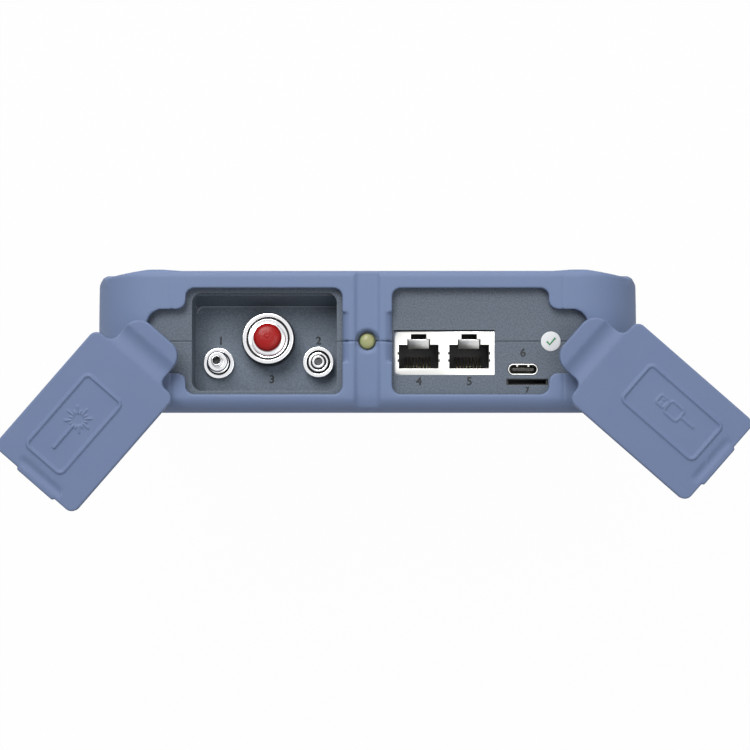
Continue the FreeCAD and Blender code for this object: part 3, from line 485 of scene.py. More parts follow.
def piece_from(name, mesh, body, slot, *replaced, material=None, smooth=0.0):
    """Named piece that rides on its body and stands for its nodes.

    Its material is the slot's own unless another is given, and its faces are shaded as one
    up to the angle given as smooth, in degrees.
    """
    if smooth:
        mesh.polygons.foreach_set("use_smooth", [True] * len(mesh.polygons))
        mesh.set_sharp_from_angle(angle=math.radians(smooth))
    mesh.name = name
    piece = new_object(name, mesh)
    if len(mesh.materials) == 0:
        mesh.materials.append(material or MATERIALS[slot])
    if body:
        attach(piece, body)
    if replaced:
        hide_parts(*replaced)
    return piece


def finished_mesh(source):
    """Plain mesh of an object with its modifiers applied; the object itself goes."""
    bpy.context.view_layer.update()
    graph = bpy.context.evaluated_depsgraph_get()
    mesh = bpy.data.meshes.new_from_object(source.evaluated_get(graph), depsgraph=graph)
    bpy.data.objects.remove(source)
    return mesh


def merged_copy(*nodes):
    """One closed mesh from copies of CAD nodes."""
    form = bmesh.new()
    for node in nodes:
        form.from_mesh(NODES[node].data)
    bmesh.ops.remove_doubles(form, verts=form.verts, dist=1e-6)
    return form


def to_mesh(form, name):
    """Mesh of a form, which is freed."""
    mesh = bpy.data.meshes.new(name)
    form.to_mesh(mesh)
    form.free()
    return mesh


def softened(mesh, name, voxel, rounds, keep):
    """Evenly remeshed form, relaxed in rounds as a soft moulding is, with some faces kept."""
    source = new_object(name, mesh)
    even = source.modifiers.new("even", "REMESH")
    even.mode = "VOXEL"
    even.voxel_size = voxel
    even.use_smooth_shade = True
    relax = source.modifiers.new("relax", "SMOOTH")
    relax.factor = 0.5
    relax.iterations = rounds
    fewer = source.modifiers.new("fewer", "DECIMATE")
    fewer.ratio = keep
    return finished_mesh(source)


def rounded_edges(mesh, name, width, segments=2):
    """Form with its hard edges bevelled."""
    source = new_object(name, mesh)
    bevel = source.modifiers.new("edges", "BEVEL")
    bevel.width = width
    bevel.segments = segments
    bevel.limit_method = "ANGLE"
    bevel.angle_limit = math.radians(HARD_EDGE)
    bevel.harden_normals = True
    mesh.polygons.foreach_set("use_smooth", [True] * len(mesh.polygons))
    return finished_mesh(source)


def flat_faced(form):
    """Joins the triangles of each flat face again."""
    bmesh.ops.dissolve_limit(form, angle_limit=math.radians(1.0), verts=form.verts,
                             edges=form.edges)
    return form


def cut_mesh(mesh, cutters, name):
    """Mesh with the cutting forms taken out of it."""
    source = new_object(name, mesh)
    tool = new_object("cutter", to_mesh(joined(cutters), "cutter"))
    cut = source.modifiers.new("cut", "BOOLEAN")
    cut.operation = "DIFFERENCE"
    cut.solver = "EXACT"
    cut.object = tool
    result = finished_mesh(source)
    bpy.data.objects.remove(tool)
    return result


def eased_node(node, slot, width, body="housing", segments=2, cutters=()):
    """Piece in a node's own shape with its edges broken, after any further cuts."""
    mesh = to_mesh(flat_faced(merged_copy(node)), node)
    if cutters:
        mesh = cut_mesh(mesh, cutters, node)
    mesh = rounded_edges(mesh, node, width, segments)
    piece_from(node + "_finished", mesh, body, slot, node)


def eased_outline(points, radii, steps=7):
    """Closed outline from corner points, each eased by a curve that starts its radius away."""
    result = []
    count = len(points)
    for i, (point, radius) in enumerate(zip(points, radii)):
        corner = Vector(point)
        before = Vector(points[i - 1]) - corner
        after = Vector(points[(i + 1) % count]) - corner
        if radius <= 0 or before.length < 1e-9 or after.length < 1e-9:
            result.append(corner)
            continue
        half = before.angle(after) / 2
        reach = min(radius / math.tan(half), before.length * 0.49, after.length * 0.49)
        start = corner + before.normalized() * reach
        stop = corner + after.normalized() * reach
        centre_way = (before.normalized() + after.normalized()).normalized()
        true_radius = reach * math.tan(half)
        centre = corner + centre_way * (true_radius / math.sin(half))
        first, last = start - centre, stop - centre
        for k in range(steps + 1):
            result.append(centre + turned_way(first, last, k / steps))
    return result


def turned_way(first, last, share):
    """Flat vector turned part of the way from one to another, the short way round."""
    turn = math.atan2(first.x * last.y - first.y * last.x, first.dot(last)) * share
    return Vector((first.x * math.cos(turn) - first.y * math.sin(turn),
                   first.x * math.sin(turn) + first.y * math.cos(turn)))


def lathe(profile, edge=0.12, segments=96):
    """Closed turned form from (radius, height) points in millimetres, corners eased."""
    radii = [0.0 if r < 1e-6 else edge for r, h in profile]
    outline = eased_outline([(r * MM, h * MM) for r, h in profile], [e * MM for e in radii], 3)
    form = bmesh.new()
    rings = []
    for radius, height in outline:
        if radius < 1e-7:
            rings.append([form.verts.new((0, 0, height))])
            continue
        ring = []
        for k in range(segments):
            turn = 2 * math.pi * k / segments
            ring.append(form.verts.new((radius * math.cos(turn), radius * math.sin(turn),
                                        height)))
        rings.append(ring)
    for i in range(len(rings)):
        first, second = rings[i], rings[(i + 1) % len(rings)]
        for k in range(segments):
            corners = [first[k % len(first)], first[(k + 1) % len(first)],
                       second[(k + 1) % len(second)], second[k % len(second)]]
            distinct = list(dict.fromkeys(corners))
            if len(distinct) > 2:
                form.faces.new(distinct)
    bmesh.ops.recalc_face_normals(form, faces=form.faces)
    return form


def port_floor(y):
    """Height of the leaning floor of the pocket at a distance along Y."""
    return CASE_TOP - POCKET_DEPTH - math.tan(PORT_TILT) * (y - OTDR_PLACE[1])


def port_matrix(place):
    """From a port's own axis to its place on the leaning floor of the pocket."""
    foot = Matrix.Translation((*place, port_floor(place[1])))
    return foot @ Matrix.Rotation(-PORT_TILT, 4, "X")


def turned_piece(name, node, body, slot, profile, matrix, edge=0.12, shaded_grooves=()):
    """Turned piece set by a matrix; faces inside a groove (inner, outer, top) get a black material as painted
    shade.
    """
    form = lathe(profile, edge)
    for face in form.faces:
        middle = face.calc_center_median()
        radius, height = math.hypot(middle.x, middle.y) / MM, middle.z / MM
        # Faces deep in a groove get the black of painted shade
        for inner, outer, top in shaded_grooves:
            if inner <= radius <= outer and height < top:
                face.material_index = 1
    mesh = to_mesh(form, name)
    mesh.transform(matrix)
    piece_from(name, mesh, body, slot, node, smooth=CRISP)
    if shaded_grooves:
        mesh.materials.append(GROOVE_SHADE_BLACK)


# Repeated units


def repeat_tree(name, around):
    """Tree that sets copies of a unit in a row, or round a circle when around is true."""
    tree = bpy.data.node_groups.new(name, "GeometryNodeTree")
    sockets = {"Unit": "Object", "Count": "Int", "Material": "Material"}
    sockets.update({"Radius": "Float"} if around else {"Start": "Vector", "Step": "Vector"})
    tree.interface.new_socket("Geometry", in_out="OUTPUT", socket_type="NodeSocketGeometry")
    for label, kind in sockets.items():
        tree.interface.new_socket(label, in_out="INPUT", socket_type="NodeSocket" + kind)
    nodes = Nodes(tree)
    given = nodes.add("NodeGroupInput").outputs
    unit = nodes.add("GeometryNodeObjectInfo", {"Object": given["Unit"]})
    inputs = {"Instance": unit.outputs["Geometry"]}
    if around:
        circle = nodes.add("GeometryNodeMeshCircle", {"Vertices": given["Count"],
                                                      "Radius": given["Radius"]})
        inputs["Points"] = circle.outputs["Mesh"]
        index = nodes.add("GeometryNodeInputIndex").outputs[0]
        share = nodes.maths("DIVIDE", index, given["Count"])
        turn = nodes.maths("MULTIPLY", share, 2 * math.pi)
        angles = nodes.add("ShaderNodeCombineXYZ", {"Z": turn})
        rotation = nodes.add("FunctionNodeEulerToRotation", {0: angles.outputs[0]})
        inputs["Rotation"] = rotation.outputs[0]
    else:
        line = nodes.add("GeometryNodeMeshLine", {"Count": given["Count"],
                                                  "Start Location": given["Start"],
                                                  "Offset": given["Step"]})
        inputs["Points"] = line.outputs["Mesh"]
    copies = nodes.add("GeometryNodeInstanceOnPoints", inputs)
    real = nodes.add("GeometryNodeRealizeInstances", {0: copies.outputs[0]})
    painted = nodes.add("GeometryNodeSetMaterial", {"Geometry": real.outputs[0],
                                                    "Material": given["Material"]})
    nodes.add("NodeGroupOutput", {0: painted.outputs[0]})
    return tree


ROW = repeat_tree("row of units", False)
CIRCLE = repeat_tree("circle of units", True)


def repeated(tree, unit_mesh, material, count, **values):
    """Plain mesh of the unit repeated by a tree, with the tree's inputs set by name."""
    unit = new_object("unit", unit_mesh)
    carrier = new_object("carrier", bpy.data.meshes.new("carrier"))
    modifier = carrier.modifiers.new("repeat", "NODES")
    modifier.node_group = tree
    chosen = {"Unit": unit, "Count": count, "Material": material, **values}
    for item in tree.interface.items_tree:
        if item.in_out == "INPUT" and item.name in chosen:
            modifier[item.identifier] = chosen[item.name]
    mesh = finished_mesh(carrier)
    bpy.data.objects.remove(unit)
    return mesh


def block(size, centre=(0, 0, 0), bevel=0.0, segments=2):
    """Brick with rounded edges, used as a part of a larger form."""
    form = bmesh.new()
    bmesh.ops.create_cube(form, size=1.0)
    bmesh.ops.scale(form, vec=size, verts=form.verts)
    bmesh.ops.translate(form, vec=centre, verts=form.verts)
    if bevel:
        bmesh.ops.bevel(form, geom=form.edges[:], offset=bevel, segments=segments,
                        affect="EDGES", profile=0.5)
    return form


def joined(forms):
    """One form from several."""
    whole = bmesh.new()
    for form in forms:
        mesh = to_mesh(form, "part") if isinstance(form, bmesh.types.BMesh) else form
        whole.from_mesh(mesh)
        bpy.data.meshes.remove(mesh)
    return whole


def rectangle(rect, radius, steps):
    """Outline of a rectangle (x0, x1, y0, y1) with rounded corners."""
    x0, x1, y0, y1 = rect
    return eased_outline(((x0, y0), (x1, y0), (x1, y1), (x0, y1)), (radius,) * 4, steps)


def bridge(form, first, second):
    """Faces between two rings of as many points."""
    for k in range(len(first)):
        n = (k + 1) % len(first)
        form.faces.new((first[k], first[n], second[n], second[k]))


def prism(outline, low, high):
    """Upright prism of a closed outline of (x, y) points."""
    form = bmesh.new()
    bottom = [form.verts.new((x, y, low)) for x, y in outline]
    top = [form.verts.new((x, y, high)) for x, y in outline]
    form.faces.new(bottom[::-1])
    form.faces.new(top)
    bridge(form, bottom, top)
    bmesh.ops.recalc_face_normals(form, faces=form.faces)
    return form


def tube(points, radius, flat=1.0, closed=False):
    """Round bar along points, its height scaled by flat about the first point's height."""
    curve = bpy.data.curves.new("tube", "CURVE")
    curve.dimensions = "3D"
    curve.bevel_depth = radius
    curve.bevel_resolution = 3
    curve.use_fill_caps = True
    spline = curve.splines.new("POLY")
    spline.points.add(len(points) - 1)
    for target, point in zip(spline.points, points):
        target.co = (*point, 1.0)
    spline.use_cyclic_u = closed
    mesh = finished_mesh(new_object("tube", curve))
    base = points[0][2]
    for vertex in mesh.vertices:
        vertex.co.z = base + (vertex.co.z - base) * flat
    return mesh


# Rubber bumper


def finger_ramp(side, start, stop):
    """Slope for a fingertip beside the torch channel, between two Y places.

    The profile holds distances from the middle and heights, in millimetres.
    """
    profile = ((5.0, 0), (6.0, -0.35), (6.9, -1.1), (7.5, -2.15), (7.5, -3.0), (5.0, -3.0))
    outline = [(side * x * MM, BODY_TOP + z * MM) for x, z in profile]
    form = prism(outline, -stop, -start)
    bmesh.ops.transform(form, matrix=Matrix.Rotation(math.pi / 2, 4, "X"), verts=form.verts)
    return form


def corner_cover(side):
    """Rubber carried on over the back corner of the housing, sinking away at both ends.

    The fades hold the way past the straight part of the corner, how far the cover has moved
    inward there and how far it has sunk, in millimetres.
    """
    corner = ((-6.8, 0.75), (0.15, 0.65), (1.5, -0.1), (1.5, -2.2), (-6.8, -2.2))
    fades = ((5.0, 1.7, 0.7), (2.0, 0.25, 0.1), (0, 0, 0))
    levels = [(CORNER_ROUND - beyond * MM, inward, sunk) for beyond, inward, sunk in fades]
    levels += [(BODY_TOP - height, inward, sunk) for height, inward, sunk in reversed(levels)]
    form = bmesh.new()
    rings = []
    for height, inward, sunk in levels:
        rings.append([form.verts.new((side * (CASE_SIDE + (x - inward) * MM),
                                      CASE_BACK + (y - sunk) * MM, height)) for x, y in corner])
    for first, second in zip(rings, rings[1:]):
        bridge(form, first, second)
    form.faces.new(rings[0][::-1])
    form.faces.new(rings[-1])
    bmesh.ops.recalc_face_normals(form, faces=form.faces)
    return form


def torch_seat():
    """Half ring that closes the lower side of the recess round the torch."""
    inner, outer = SEAT_RADII
    steps = range(SEAT_STEPS + 1)
    outline = []
    for radius, order in ((outer, steps), (inner, reversed(steps))):
        for k in order:
            turn = -math.pi * k / SEAT_STEPS
            outline.append((radius * math.cos(turn), radius * math.sin(turn)))
    return prism(outline, BODY_TOP - SEAT_LOW, BODY_TOP - SEAT_HIGH)


def sink_channel(mesh):
    """Let the torch channel grow deeper, and the edge fall away sooner, towards the screen."""
    for vertex in mesh.vertices:
        place = vertex.co
        across = valley(place.x, CHANNEL_HALF, 1.5)
        along = held((-place.y - CHANNEL_START) / CHANNEL_REACH)
        beyond = held((CREST_Y - place.y) / CREST_REACH)
        upper = held((place.z - BODY_TOP + SINK_BELOW) / SINK_REACH)
        place.z -= (CHANNEL_SINK * across * along + CREST_FALL * beyond ** 1.3) * upper


def bumpers():
    """Both halves of the bumper, with what their solids leave out joined on."""
    added = {"front_bumper": [torch_seat()], "rear_bumper": []}
    for side in (-1, 1):
        added["front_bumper"].append(finger_ramp(side, FINGER_LOW, -HALVES_GAP))
        added["rear_bumper"] += [finger_ramp(side, HALVES_GAP, FINGER_HIGH), corner_cover(side)]
    for node, forms in added.items():
        whole = joined([merged_copy(node)] + forms)
        mesh = softened(to_mesh(whole, node), node, BUMPER_VOXEL, rounds=2, keep=0.2)
        sink_channel(mesh)
        piece_from(node + "_moulding", mesh, "housing", "blue_rubber", node, smooth=MOULDED)


# Flaps


def flap_outline():
    """Outline of a closed flap: the wide cover, then the narrow tab."""
    points = ((FLAP_INNER, -FLAP_HALF), (FLAP_OUTER, -FLAP_HALF), (FLAP_OUTER, -TAB_HALF),
              (TAB_TIP, -TAB_HALF), (TAB_TIP, TAB_HALF), (FLAP_OUTER, TAB_HALF),
              (FLAP_OUTER, FLAP_HALF), (FLAP_INNER, FLAP_HALF))
    corner, tab = 2.6 * MM, 5.1 * MM
    radii = (corner, corner, corner, tab, tab, corner, corner, corner)
    return eased_outline(points, radii, steps=10)


def valley(distance, width, power=1.0):
    """Dip of depth 1 at distance 0, gone beyond the width; a higher power softens its edges."""
    share = held(abs(distance) / width)
    return (1 - share * share) ** power


def flap_shape(mesh, under):
    """Press the living hinge and the finger scoop into the top of a closed flap."""
    for vertex in mesh.vertices:
        place = vertex.co
        share = held((place.z - under) / FLAP_THICK)
        press = HINGE_PRESS * valley(place.x - HINGE_X, HINGE_SPREAD, 1.3)
        across = max(0.0, 1 - (abs(place.y - SCOOP_Y) / SCOOP_HALF) ** 8)
        press += SCOOP_PRESS * valley(place.x - SCOOP_X, SCOOP_SPREAD, 2.0) * across
        place.z -= press * share


def frame_on_flap(top):
    """Raised rounded frame in the middle of a flap."""
    corners = rectangle(SIGN_FRAME, radius=1.6 * MM, steps=6)
    return tube([(x, y, top + 0.02 * MM) for x, y in corners], radius=0.55 * MM, flat=0.9,
                closed=True)


def ray_burst(top):
    """Raised lamp-ray sign: long and short rays round a point, and one beam."""
    centre = Vector((*BURST_PLACE, top + 0.08 * MM))
    foot, long_ray, short_ray = 1.8, 4.1, 2.8
    bars = []
    for k in range(BURST_RAYS):
        turn = 2 * math.pi * k / BURST_RAYS
        way = Vector((math.cos(turn), math.sin(turn), 0))
        reach = short_ray if k % 2 else long_ray
        ray = [centre + way * foot * MM, centre + way * reach * MM]
        bars.append(tube(ray, radius=0.21 * MM, flat=1.7))
    beam = [centre - Vector((reach, 0, 0)) for reach in mm(2.3, 11.2)]
    bars.append(tube(beam, radius=0.5 * MM, flat=0.9))
    return bars


def plug_sign(top):
    """Raised sign of a plug and its lead."""
    height = top + 0.06 * MM

    def line(points, radius=0.34, closed=False):
        """Bar of the sign, in millimetres."""
        placed = [(x * MM, PLUG_SIGN_Y + y * MM, height) for x, y in points]
        return tube(placed, radius * MM, flat=0.85, closed=closed)

    shell = rectangle((26.0, 31.0, -2.1, 2.1), radius=0.8, steps=3)
    mouth = rectangle((31.6, 34.4, -1.4, 1.4), radius=0.3, steps=3)
    lead = [(25.6, 0), (21.0, 0)]
    prongs = [line([(32.5, y), (33.4, y)], radius=0.22) for y in (0.6, -0.6)]
    return [line(shell, closed=True), line(mouth, closed=True), line(lead), *prongs]


def hollow_rim(rect, wall, low, high, corner):
    """Upright rounded wall inside a rectangle (x0, x1, y0, y1)."""
    x0, x1, y0, y1 = rect
    outer = rectangle(rect, corner, steps=5)
    inner = rectangle((x0 + wall, x1 - wall, y0 + wall, y1 - wall), corner * 0.45, steps=5)
    form = bmesh.new()
    loops = []
    for outline, height in ((outer, low), (outer, high), (inner, high), (inner, low)):
        loops.append([form.verts.new((x, y, height)) for x, y in outline])
    for first, second in zip(loops, loops[1:] + loops[:1]):
        bridge(form, first, second)
    bmesh.ops.recalc_face_normals(form, faces=form.faces)
    return form


def flap_underside(side, under):
    """Rim that fits the optical pocket, or plugs that fit the network sockets."""
    root = under + 0.5 * MM
    if side == "left":
        rim = mm(9.6, 52.6, -14.6, 14.3)
        return [hollow_rim(rim, wall=1.5 * MM, low=under - 3.0 * MM, high=root, corner=2.6 * MM)]
    plugs = []
    half_width, height = mm(5.6, 6.4)
    low_y = JACK_SILL + 0.4 * MM
    for centre in JACK_CENTRES:
        rim = (centre - half_width, centre + half_width, low_y, low_y + height)
        plugs.append(hollow_rim(rim, wall=1.4 * MM, low=under - 4.5 * MM, high=root,
                                corner=0.8 * MM))
    return plugs


def closed_flap(side, under, high):
    """Mesh of a flap as it lies over the right-hand side, with its sign and its lift lip."""
    slab = to_mesh(prism(flap_outline(), under, high), "slab")
    lip = (LIP_REACH + 2.0 * MM, 14.3 * MM, 1.8 * MM)
    middle = (FLAP_INNER - LIP_REACH + lip[0] / 2, SCOOP_Y, high - lip[2] / 2)
    parts = [rounded_edges(slab, "slab", width=0.45 * MM, segments=3),
             block(lip, middle, bevel=0.5 * MM)]
    parts.append(frame_on_flap(high))
    parts += ray_burst(high) if side == "left" else plug_sign(high)
    parts += flap_underside(side, under)
    mesh = softened(to_mesh(joined(parts), "flap"), "flap", FLAP_VOXEL, rounds=1, keep=0.25)
    flap_shape(mesh, under)
    return mesh


def flap(side):
    """Soft flap in one moulding, a living hinge pressed in between tab and cover, turned open about its stem."""
    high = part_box(side + "_flap_tab")[1].z
    under = high - FLAP_THICK
    whole = joined([closed_flap(side, under, high)])
    sign = -1 if side == "left" else 1
    if side == "left":
        bmesh.ops.scale(whole, vec=(-1, 1, 1), verts=whole.verts)
        bmesh.ops.reverse_faces(whole, faces=whole.faces)
    pivot = Vector((sign * STEM_X, 0, 0))
    turn = Matrix.Rotation(FLAP_TURN[side], 4, "Z")
    place = Matrix.Translation(pivot) @ turn @ Matrix.Translation(-pivot)
    bmesh.ops.transform(whole, matrix=place, verts=whole.verts)
    piece = piece_from(side + "_flap_moulding", to_mesh(whole, side + "_flap"), None,
                       "blue_rubber", side + "_flap_tab", side + "_flap_cover",
                       material=FLAP_RUBBER, smooth=MOULDED)
    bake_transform(piece)


# Optical ports


def optical_ports():
    """Turned parts of the three ports; profiles hold radii and heights in millimetres."""
    ring_out, boss = 8.2, 5.9
    main, light, meter = [port_matrix(place) for place in (OTDR_PLACE, VFL_PLACE, OPM_PLACE)]
    turned_piece("main_port_boss", "otdr_boss", "housing", "nickel",
                 ((1.25, -5.0), (boss, -5.0), (boss, 0), (7.7, 0), (7.7, 0.7), (boss, 0.7),
                  (boss, 3.6), (3.2, 3.6), (3.2, 1.0), (1.25, 1.0)), main)
    turned_piece("main_port_ferrule", "otdr_ferrule", "housing", "ceramic",
                 ((0, -5.0), (1.25, -5.0), (1.25, 7.2), (0.9, 7.6), (0, 7.6)), main,
                 edge=0.05)
    turned_piece("adapter_flange", "otdr_adapter", "adapter", "chrome",
                 ((1.28, 3.9), (5.8, 3.9), (5.8, 4.5), (4.4, 4.5), (4.4, 5.9), (7.75, 5.9),
                  (7.75, 6.9), (6.6, 6.9), (6.5, 6.3), (6.1, 6.3), (6.0, 6.75), (5.0, 6.45),
                  (4.9, 7.1), (3.6, 7.1), (3.6, 10.0), (1.28, 10.0)), main,
                 edge=0.13, shaded_grooves=((6.02, 6.58, 6.75),))
    base = to_mesh(lathe(((boss + 0.35, 1.05), (ring_out - 0.22, 1.05), (ring_out - 0.22, 5.1),
                          (ring_out - 0.5, 5.55), (4.8, 5.55), (4.8, 4.85),
                          (boss + 0.35, 4.85)), edge=0.15), "ring")
    tooth = block(mm(0.44, 0.42, 3.5), (0, 0, 3.1 * MM), bevel=0.1 * MM, segments=1)
    teeth = repeated(CIRCLE, to_mesh(tooth, "tooth"), MATERIALS["black_metal"], count=84,
                     Radius=(ring_out - 0.24) * MM)
    mesh = to_mesh(joined([base, teeth]), "knurled ring")
    mesh.transform(main)
    piece_from("knurled_lock_ring", mesh, "lock_ring", "black_metal", "otdr_lock_ring",
               smooth=CRISP)
    turned_piece("red_dust_cap", "otdr_dust_cap", "dust_cap", "red_rubber",
                 ((3.65, 7.4), (4.3, 7.4), (4.3, 9.7), (4.15, 10.2), (3.75, 10.7), (3.1, 11.1),
                  (2.2, 11.35), (1.1, 11.45), (0.55, 11.4), (0.3, 11.6), (0, 11.6), (0, 9.9),
                  (3.65, 9.9)), main, edge=0.2)
    turned_piece("fault_light_port", "vfl_port", "housing", "chrome",
                 ((1.65, -5.0), (3.0, -5.0), (3.0, 0), (4.7, 0), (4.7, 1.6), (3.6, 1.6),
                  (3.6, 0.9), (3.2, 0.9), (3.2, 5.9), (2.8, 6.3), (1.65, 6.3)), light,
                 edge=0.12, shaded_grooves=((3.1, 3.7, 1.5),))
    turned_piece("fault_light_sleeve", "vfl_sleeve", "housing", "nickel",
                 ((1.25, -5.0), (1.65, -5.0), (1.65, 9.4), (1.45, 9.6), (1.25, 9.6)),
                 light, edge=0.08)
    turned_piece("power_meter_port", "opm_port", "housing", "chrome",
                 ((2.0, -5.0), (3.0, -5.0), (3.0, 0), (4.7, 0), (4.7, 4.0), (3.6, 4.0),
                  (3.6, 2.4), (3.0, 2.4), (3.0, 4.3), (2.35, 4.3), (2.35, 3.0), (2.0, 3.0)),
                 meter, edge=0.14, shaded_grooves=((2.9, 3.7, 3.85), (1.9, 2.4, 4.15)))
    turned_piece("power_meter_sleeve", "opm_sleeve", "housing", "nickel",
                 ((1.25, -5.0), (2.0, -5.0), (2.0, 4.9), (1.8, 5.1), (1.25, 5.1)),
                 meter, edge=0.08)


# Data ports


def network_jack():
    """Shield with its notches and springs, and a row of wires in each mouth."""
    half_mouth = 6.0 * MM
    notch = mm(0.75, 0.8, 1.4)
    notches = []
    for centre in JACK_CENTRES:
        for x in (centre - half_mouth, centre + half_mouth):
            for rise in mm(2.4, 4.6):
                notches.append(block(notch, (x, JACK_SILL + rise, CASE_TOP)))
    eased_node("rj45_shield", "tin_steel", 0.07 * MM, cutters=notches)
    eased_node("rj45_springs", "tin_steel", 0.06 * MM)
    wire = joined([tube(contact_path(), radius=0.24 * MM)])
    bmesh.ops.scale(wire, vec=(0.9, 1, 1), verts=wire.verts)
    unit = to_mesh(wire, "wire")
    rows = []
    for centre in JACK_CENTRES:
        rows.append(repeated(ROW, unit.copy(), MATERIALS["gold"], count=8,
                             Start=(centre - 3.5 * CONTACT_STEP, JACK_SILL, CASE_TOP),
                             Step=(CONTACT_STEP, 0, 0)))
    piece_from("network_contacts", to_mesh(joined(rows), "contacts"), "housing", "gold",
               "rj45_contacts", smooth=CRISP)


def contact_path():
    """Bent line of one spring wire, from its foot at the sill down into the socket."""
    points = ((0.3, -5.2), (0.55, -4.8), (0.85, -5.1), (1.6, -6.8), (2.9, -9.8), (3.5, -12.2))
    return [(0, y * MM, z * MM) for y, z in points]


def oval_socket():
    """Shell, tongue with a row of contacts on each face, and two dimples."""
    eased_node("usb_c_shell", "tin_steel", 0.09 * MM)
    middle = (USB_LOW + USB_HIGH) / 2
    tongue = block(mm(6.7, 0.7, 5.6), (middle.x, middle.y, CASE_TOP - 3.7 * MM), bevel=0.12 * MM)
    base = block(mm(8.1, 2.6, 1.2), (middle.x, middle.y, CASE_TOP - 6.7 * MM), bevel=0.2 * MM)
    piece_from("oval_socket_tongue", to_mesh(joined([tongue, base]), "tongue"), "housing",
               "black_plastic", "usb_c_tongue", smooth=CRISP)
    rows = []
    for side in (-1, 1):
        contact = block(mm(0.26, 0.1, 3.6), bevel=0.03 * MM, segments=1)
        start = (middle.x - 2.75 * MM, middle.y + side * 0.36 * MM, CASE_TOP - 3.0 * MM)
        rows.append(repeated(ROW, to_mesh(contact, "contact"), MATERIALS["gold"], count=12,
                             Start=start, Step=(0.5 * MM, 0, 0)))
    piece_from("oval_socket_contacts", to_mesh(joined(rows), "contacts"), "housing", "gold")
    dimple = lathe(((0, -0.3), (0.36, -0.22), (0.36, 0), (0.2, 0.16), (0, 0.2)), edge=0.05,
                   segments=20)
    pair = repeated(ROW, to_mesh(dimple, "dimple"), MATERIALS["tin_steel"], count=2,
                    Start=(middle.x - 1.7 * MM, USB_HIGH.y - 0.55 * MM, CASE_TOP - 0.7 * MM),
                    Step=(3.4 * MM, 0, 0))
    piece_from("oval_socket_dimples", pair, "housing", "tin_steel", smooth=CRISP)


# Torch and pocket


def torch_lens():
    """Low dome with a collar, standing through the end of the housing."""
    top = (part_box("torch_led")[1].z - CASE_TOP) / MM
    rise = top - 0.1
    dome = [(2.36 * math.cos(k * math.pi / 16), 0.1 + rise * math.sin(k * math.pi / 16))
            for k in range(8)]
    profile = [(0, -3.5), (2.9, -3.5), (2.9, -2.5), (2.48, -2.5), *dome, (0, top)]
    turned_piece("torch_lens", "torch_led", "housing", "led_lens", profile,
                 Matrix.Translation((0, 0, CASE_TOP)), edge=0.05)


def pocket_lip():
    """Fine raised line where the floor of the pocket meets its leaning back wall, coloured paler than the tray as
    a painted highlight.
    """
    left, right, back = POCKET_EDGE
    outline = [(left, back - 2.2 * MM), (left + 0.25 * MM, back - 1.2 * MM),
               (left + 0.9 * MM, back - 0.4 * MM), (left + 1.8 * MM, back), (right, back)]
    points = []
    for x, y in outline:
        points.append((x, y, port_floor(y) + 0.05 * MM))
    piece_from("pocket_lip", tube(points, radius=0.34 * MM), "housing", "tray_plastic",
               material=LEDGE_HIGHLIGHT_GREY, smooth=CRISP)


# Keys


def key_mark(name, forms):
    """Printed sign on the front of a key, from forms drawn flat round the origin."""
    mesh = to_mesh(joined(forms), name)
    low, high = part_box("key_" + name)
    front = Matrix.Translation(((low.x + high.x) / 2, low.y, (low.z + high.z) / 2))
    mesh.transform(front @ Matrix.Rotation(math.pi / 2, 4, "X"))
    piece_from("key_sign_" + name, mesh, "key_" + name, "key_rubber", material=KEY_MARK)


def stroke(points, radius=0.26, closed=False):
    """Thin printed line of a key's sign, in millimetres."""
    return tube([(x * MM, y * MM, 0) for x, y in points], radius * MM, flat=0.16, closed=closed)


def ring_points(radius, first=0, last=24, count=24):
    """Points round a circle, from the first step to the one before the last."""
    return [(radius * math.cos(2 * math.pi * k / count), radius * math.sin(2 * math.pi * k / count))
            for k in range(first, last)]


def keys():
    """Six keys and their signs, drawn round the middle of each key."""
    for name in KEY_NAMES:
        eased_node("key_" + name, "key_rubber", 0.55 * MM, body="key_" + name, segments=4)
    for name, way in (("up", 1), ("down", -1)):
        wedge = [mm(way * x, way * y) for x, y in ((-1.5, -0.9), (1.5, -0.9), (0, 1.2))]
        key_mark(name, [prism(wedge, *mm(-0.02, 0.04))])
    key_mark("ok", [stroke(ring_points(1.5), closed=True), stroke(ring_points(0.3), closed=True)])
    key_mark("back", [stroke([(1.8, -1.2), (1.8, 0.5), (-1.6, 0.5)]),
                      stroke([(-0.6, 1.5), (-1.7, 0.5), (-0.6, -0.5)])])
    rays = [stroke([(x, y), (x * 1.55, y * 1.55)], radius=0.2)
            for x, y in ring_points(1.35, last=8, count=8)]
    key_mark("light", [stroke(ring_points(0.75), closed=True)] + rays)
    arc = ring_points(1.45, first=8, last=29)
    key_mark("power", [stroke(arc), stroke([(0, 0.3), (0, 1.9)])])


# Back


def screw_head(radius, height):
    """Domed head with a cross recess, its top at height 0; radius and height in millimetres."""
    head = to_mesh(lathe(((0, -height), (radius, -height), (radius, -0.45), (radius * 0.85, -0.12),
                          (radius * 0.5, 0.0), (0, 0.0)), edge=0.1, segments=40), "head")
    arm = (radius * 1.15 * MM, 0.5 * MM, 1.6 * MM)
    across = (arm[1], arm[0], arm[2])
    return cut_mesh(head, [block(arm, bevel=0.08 * MM), block(across, bevel=0.08 * MM)], "head")


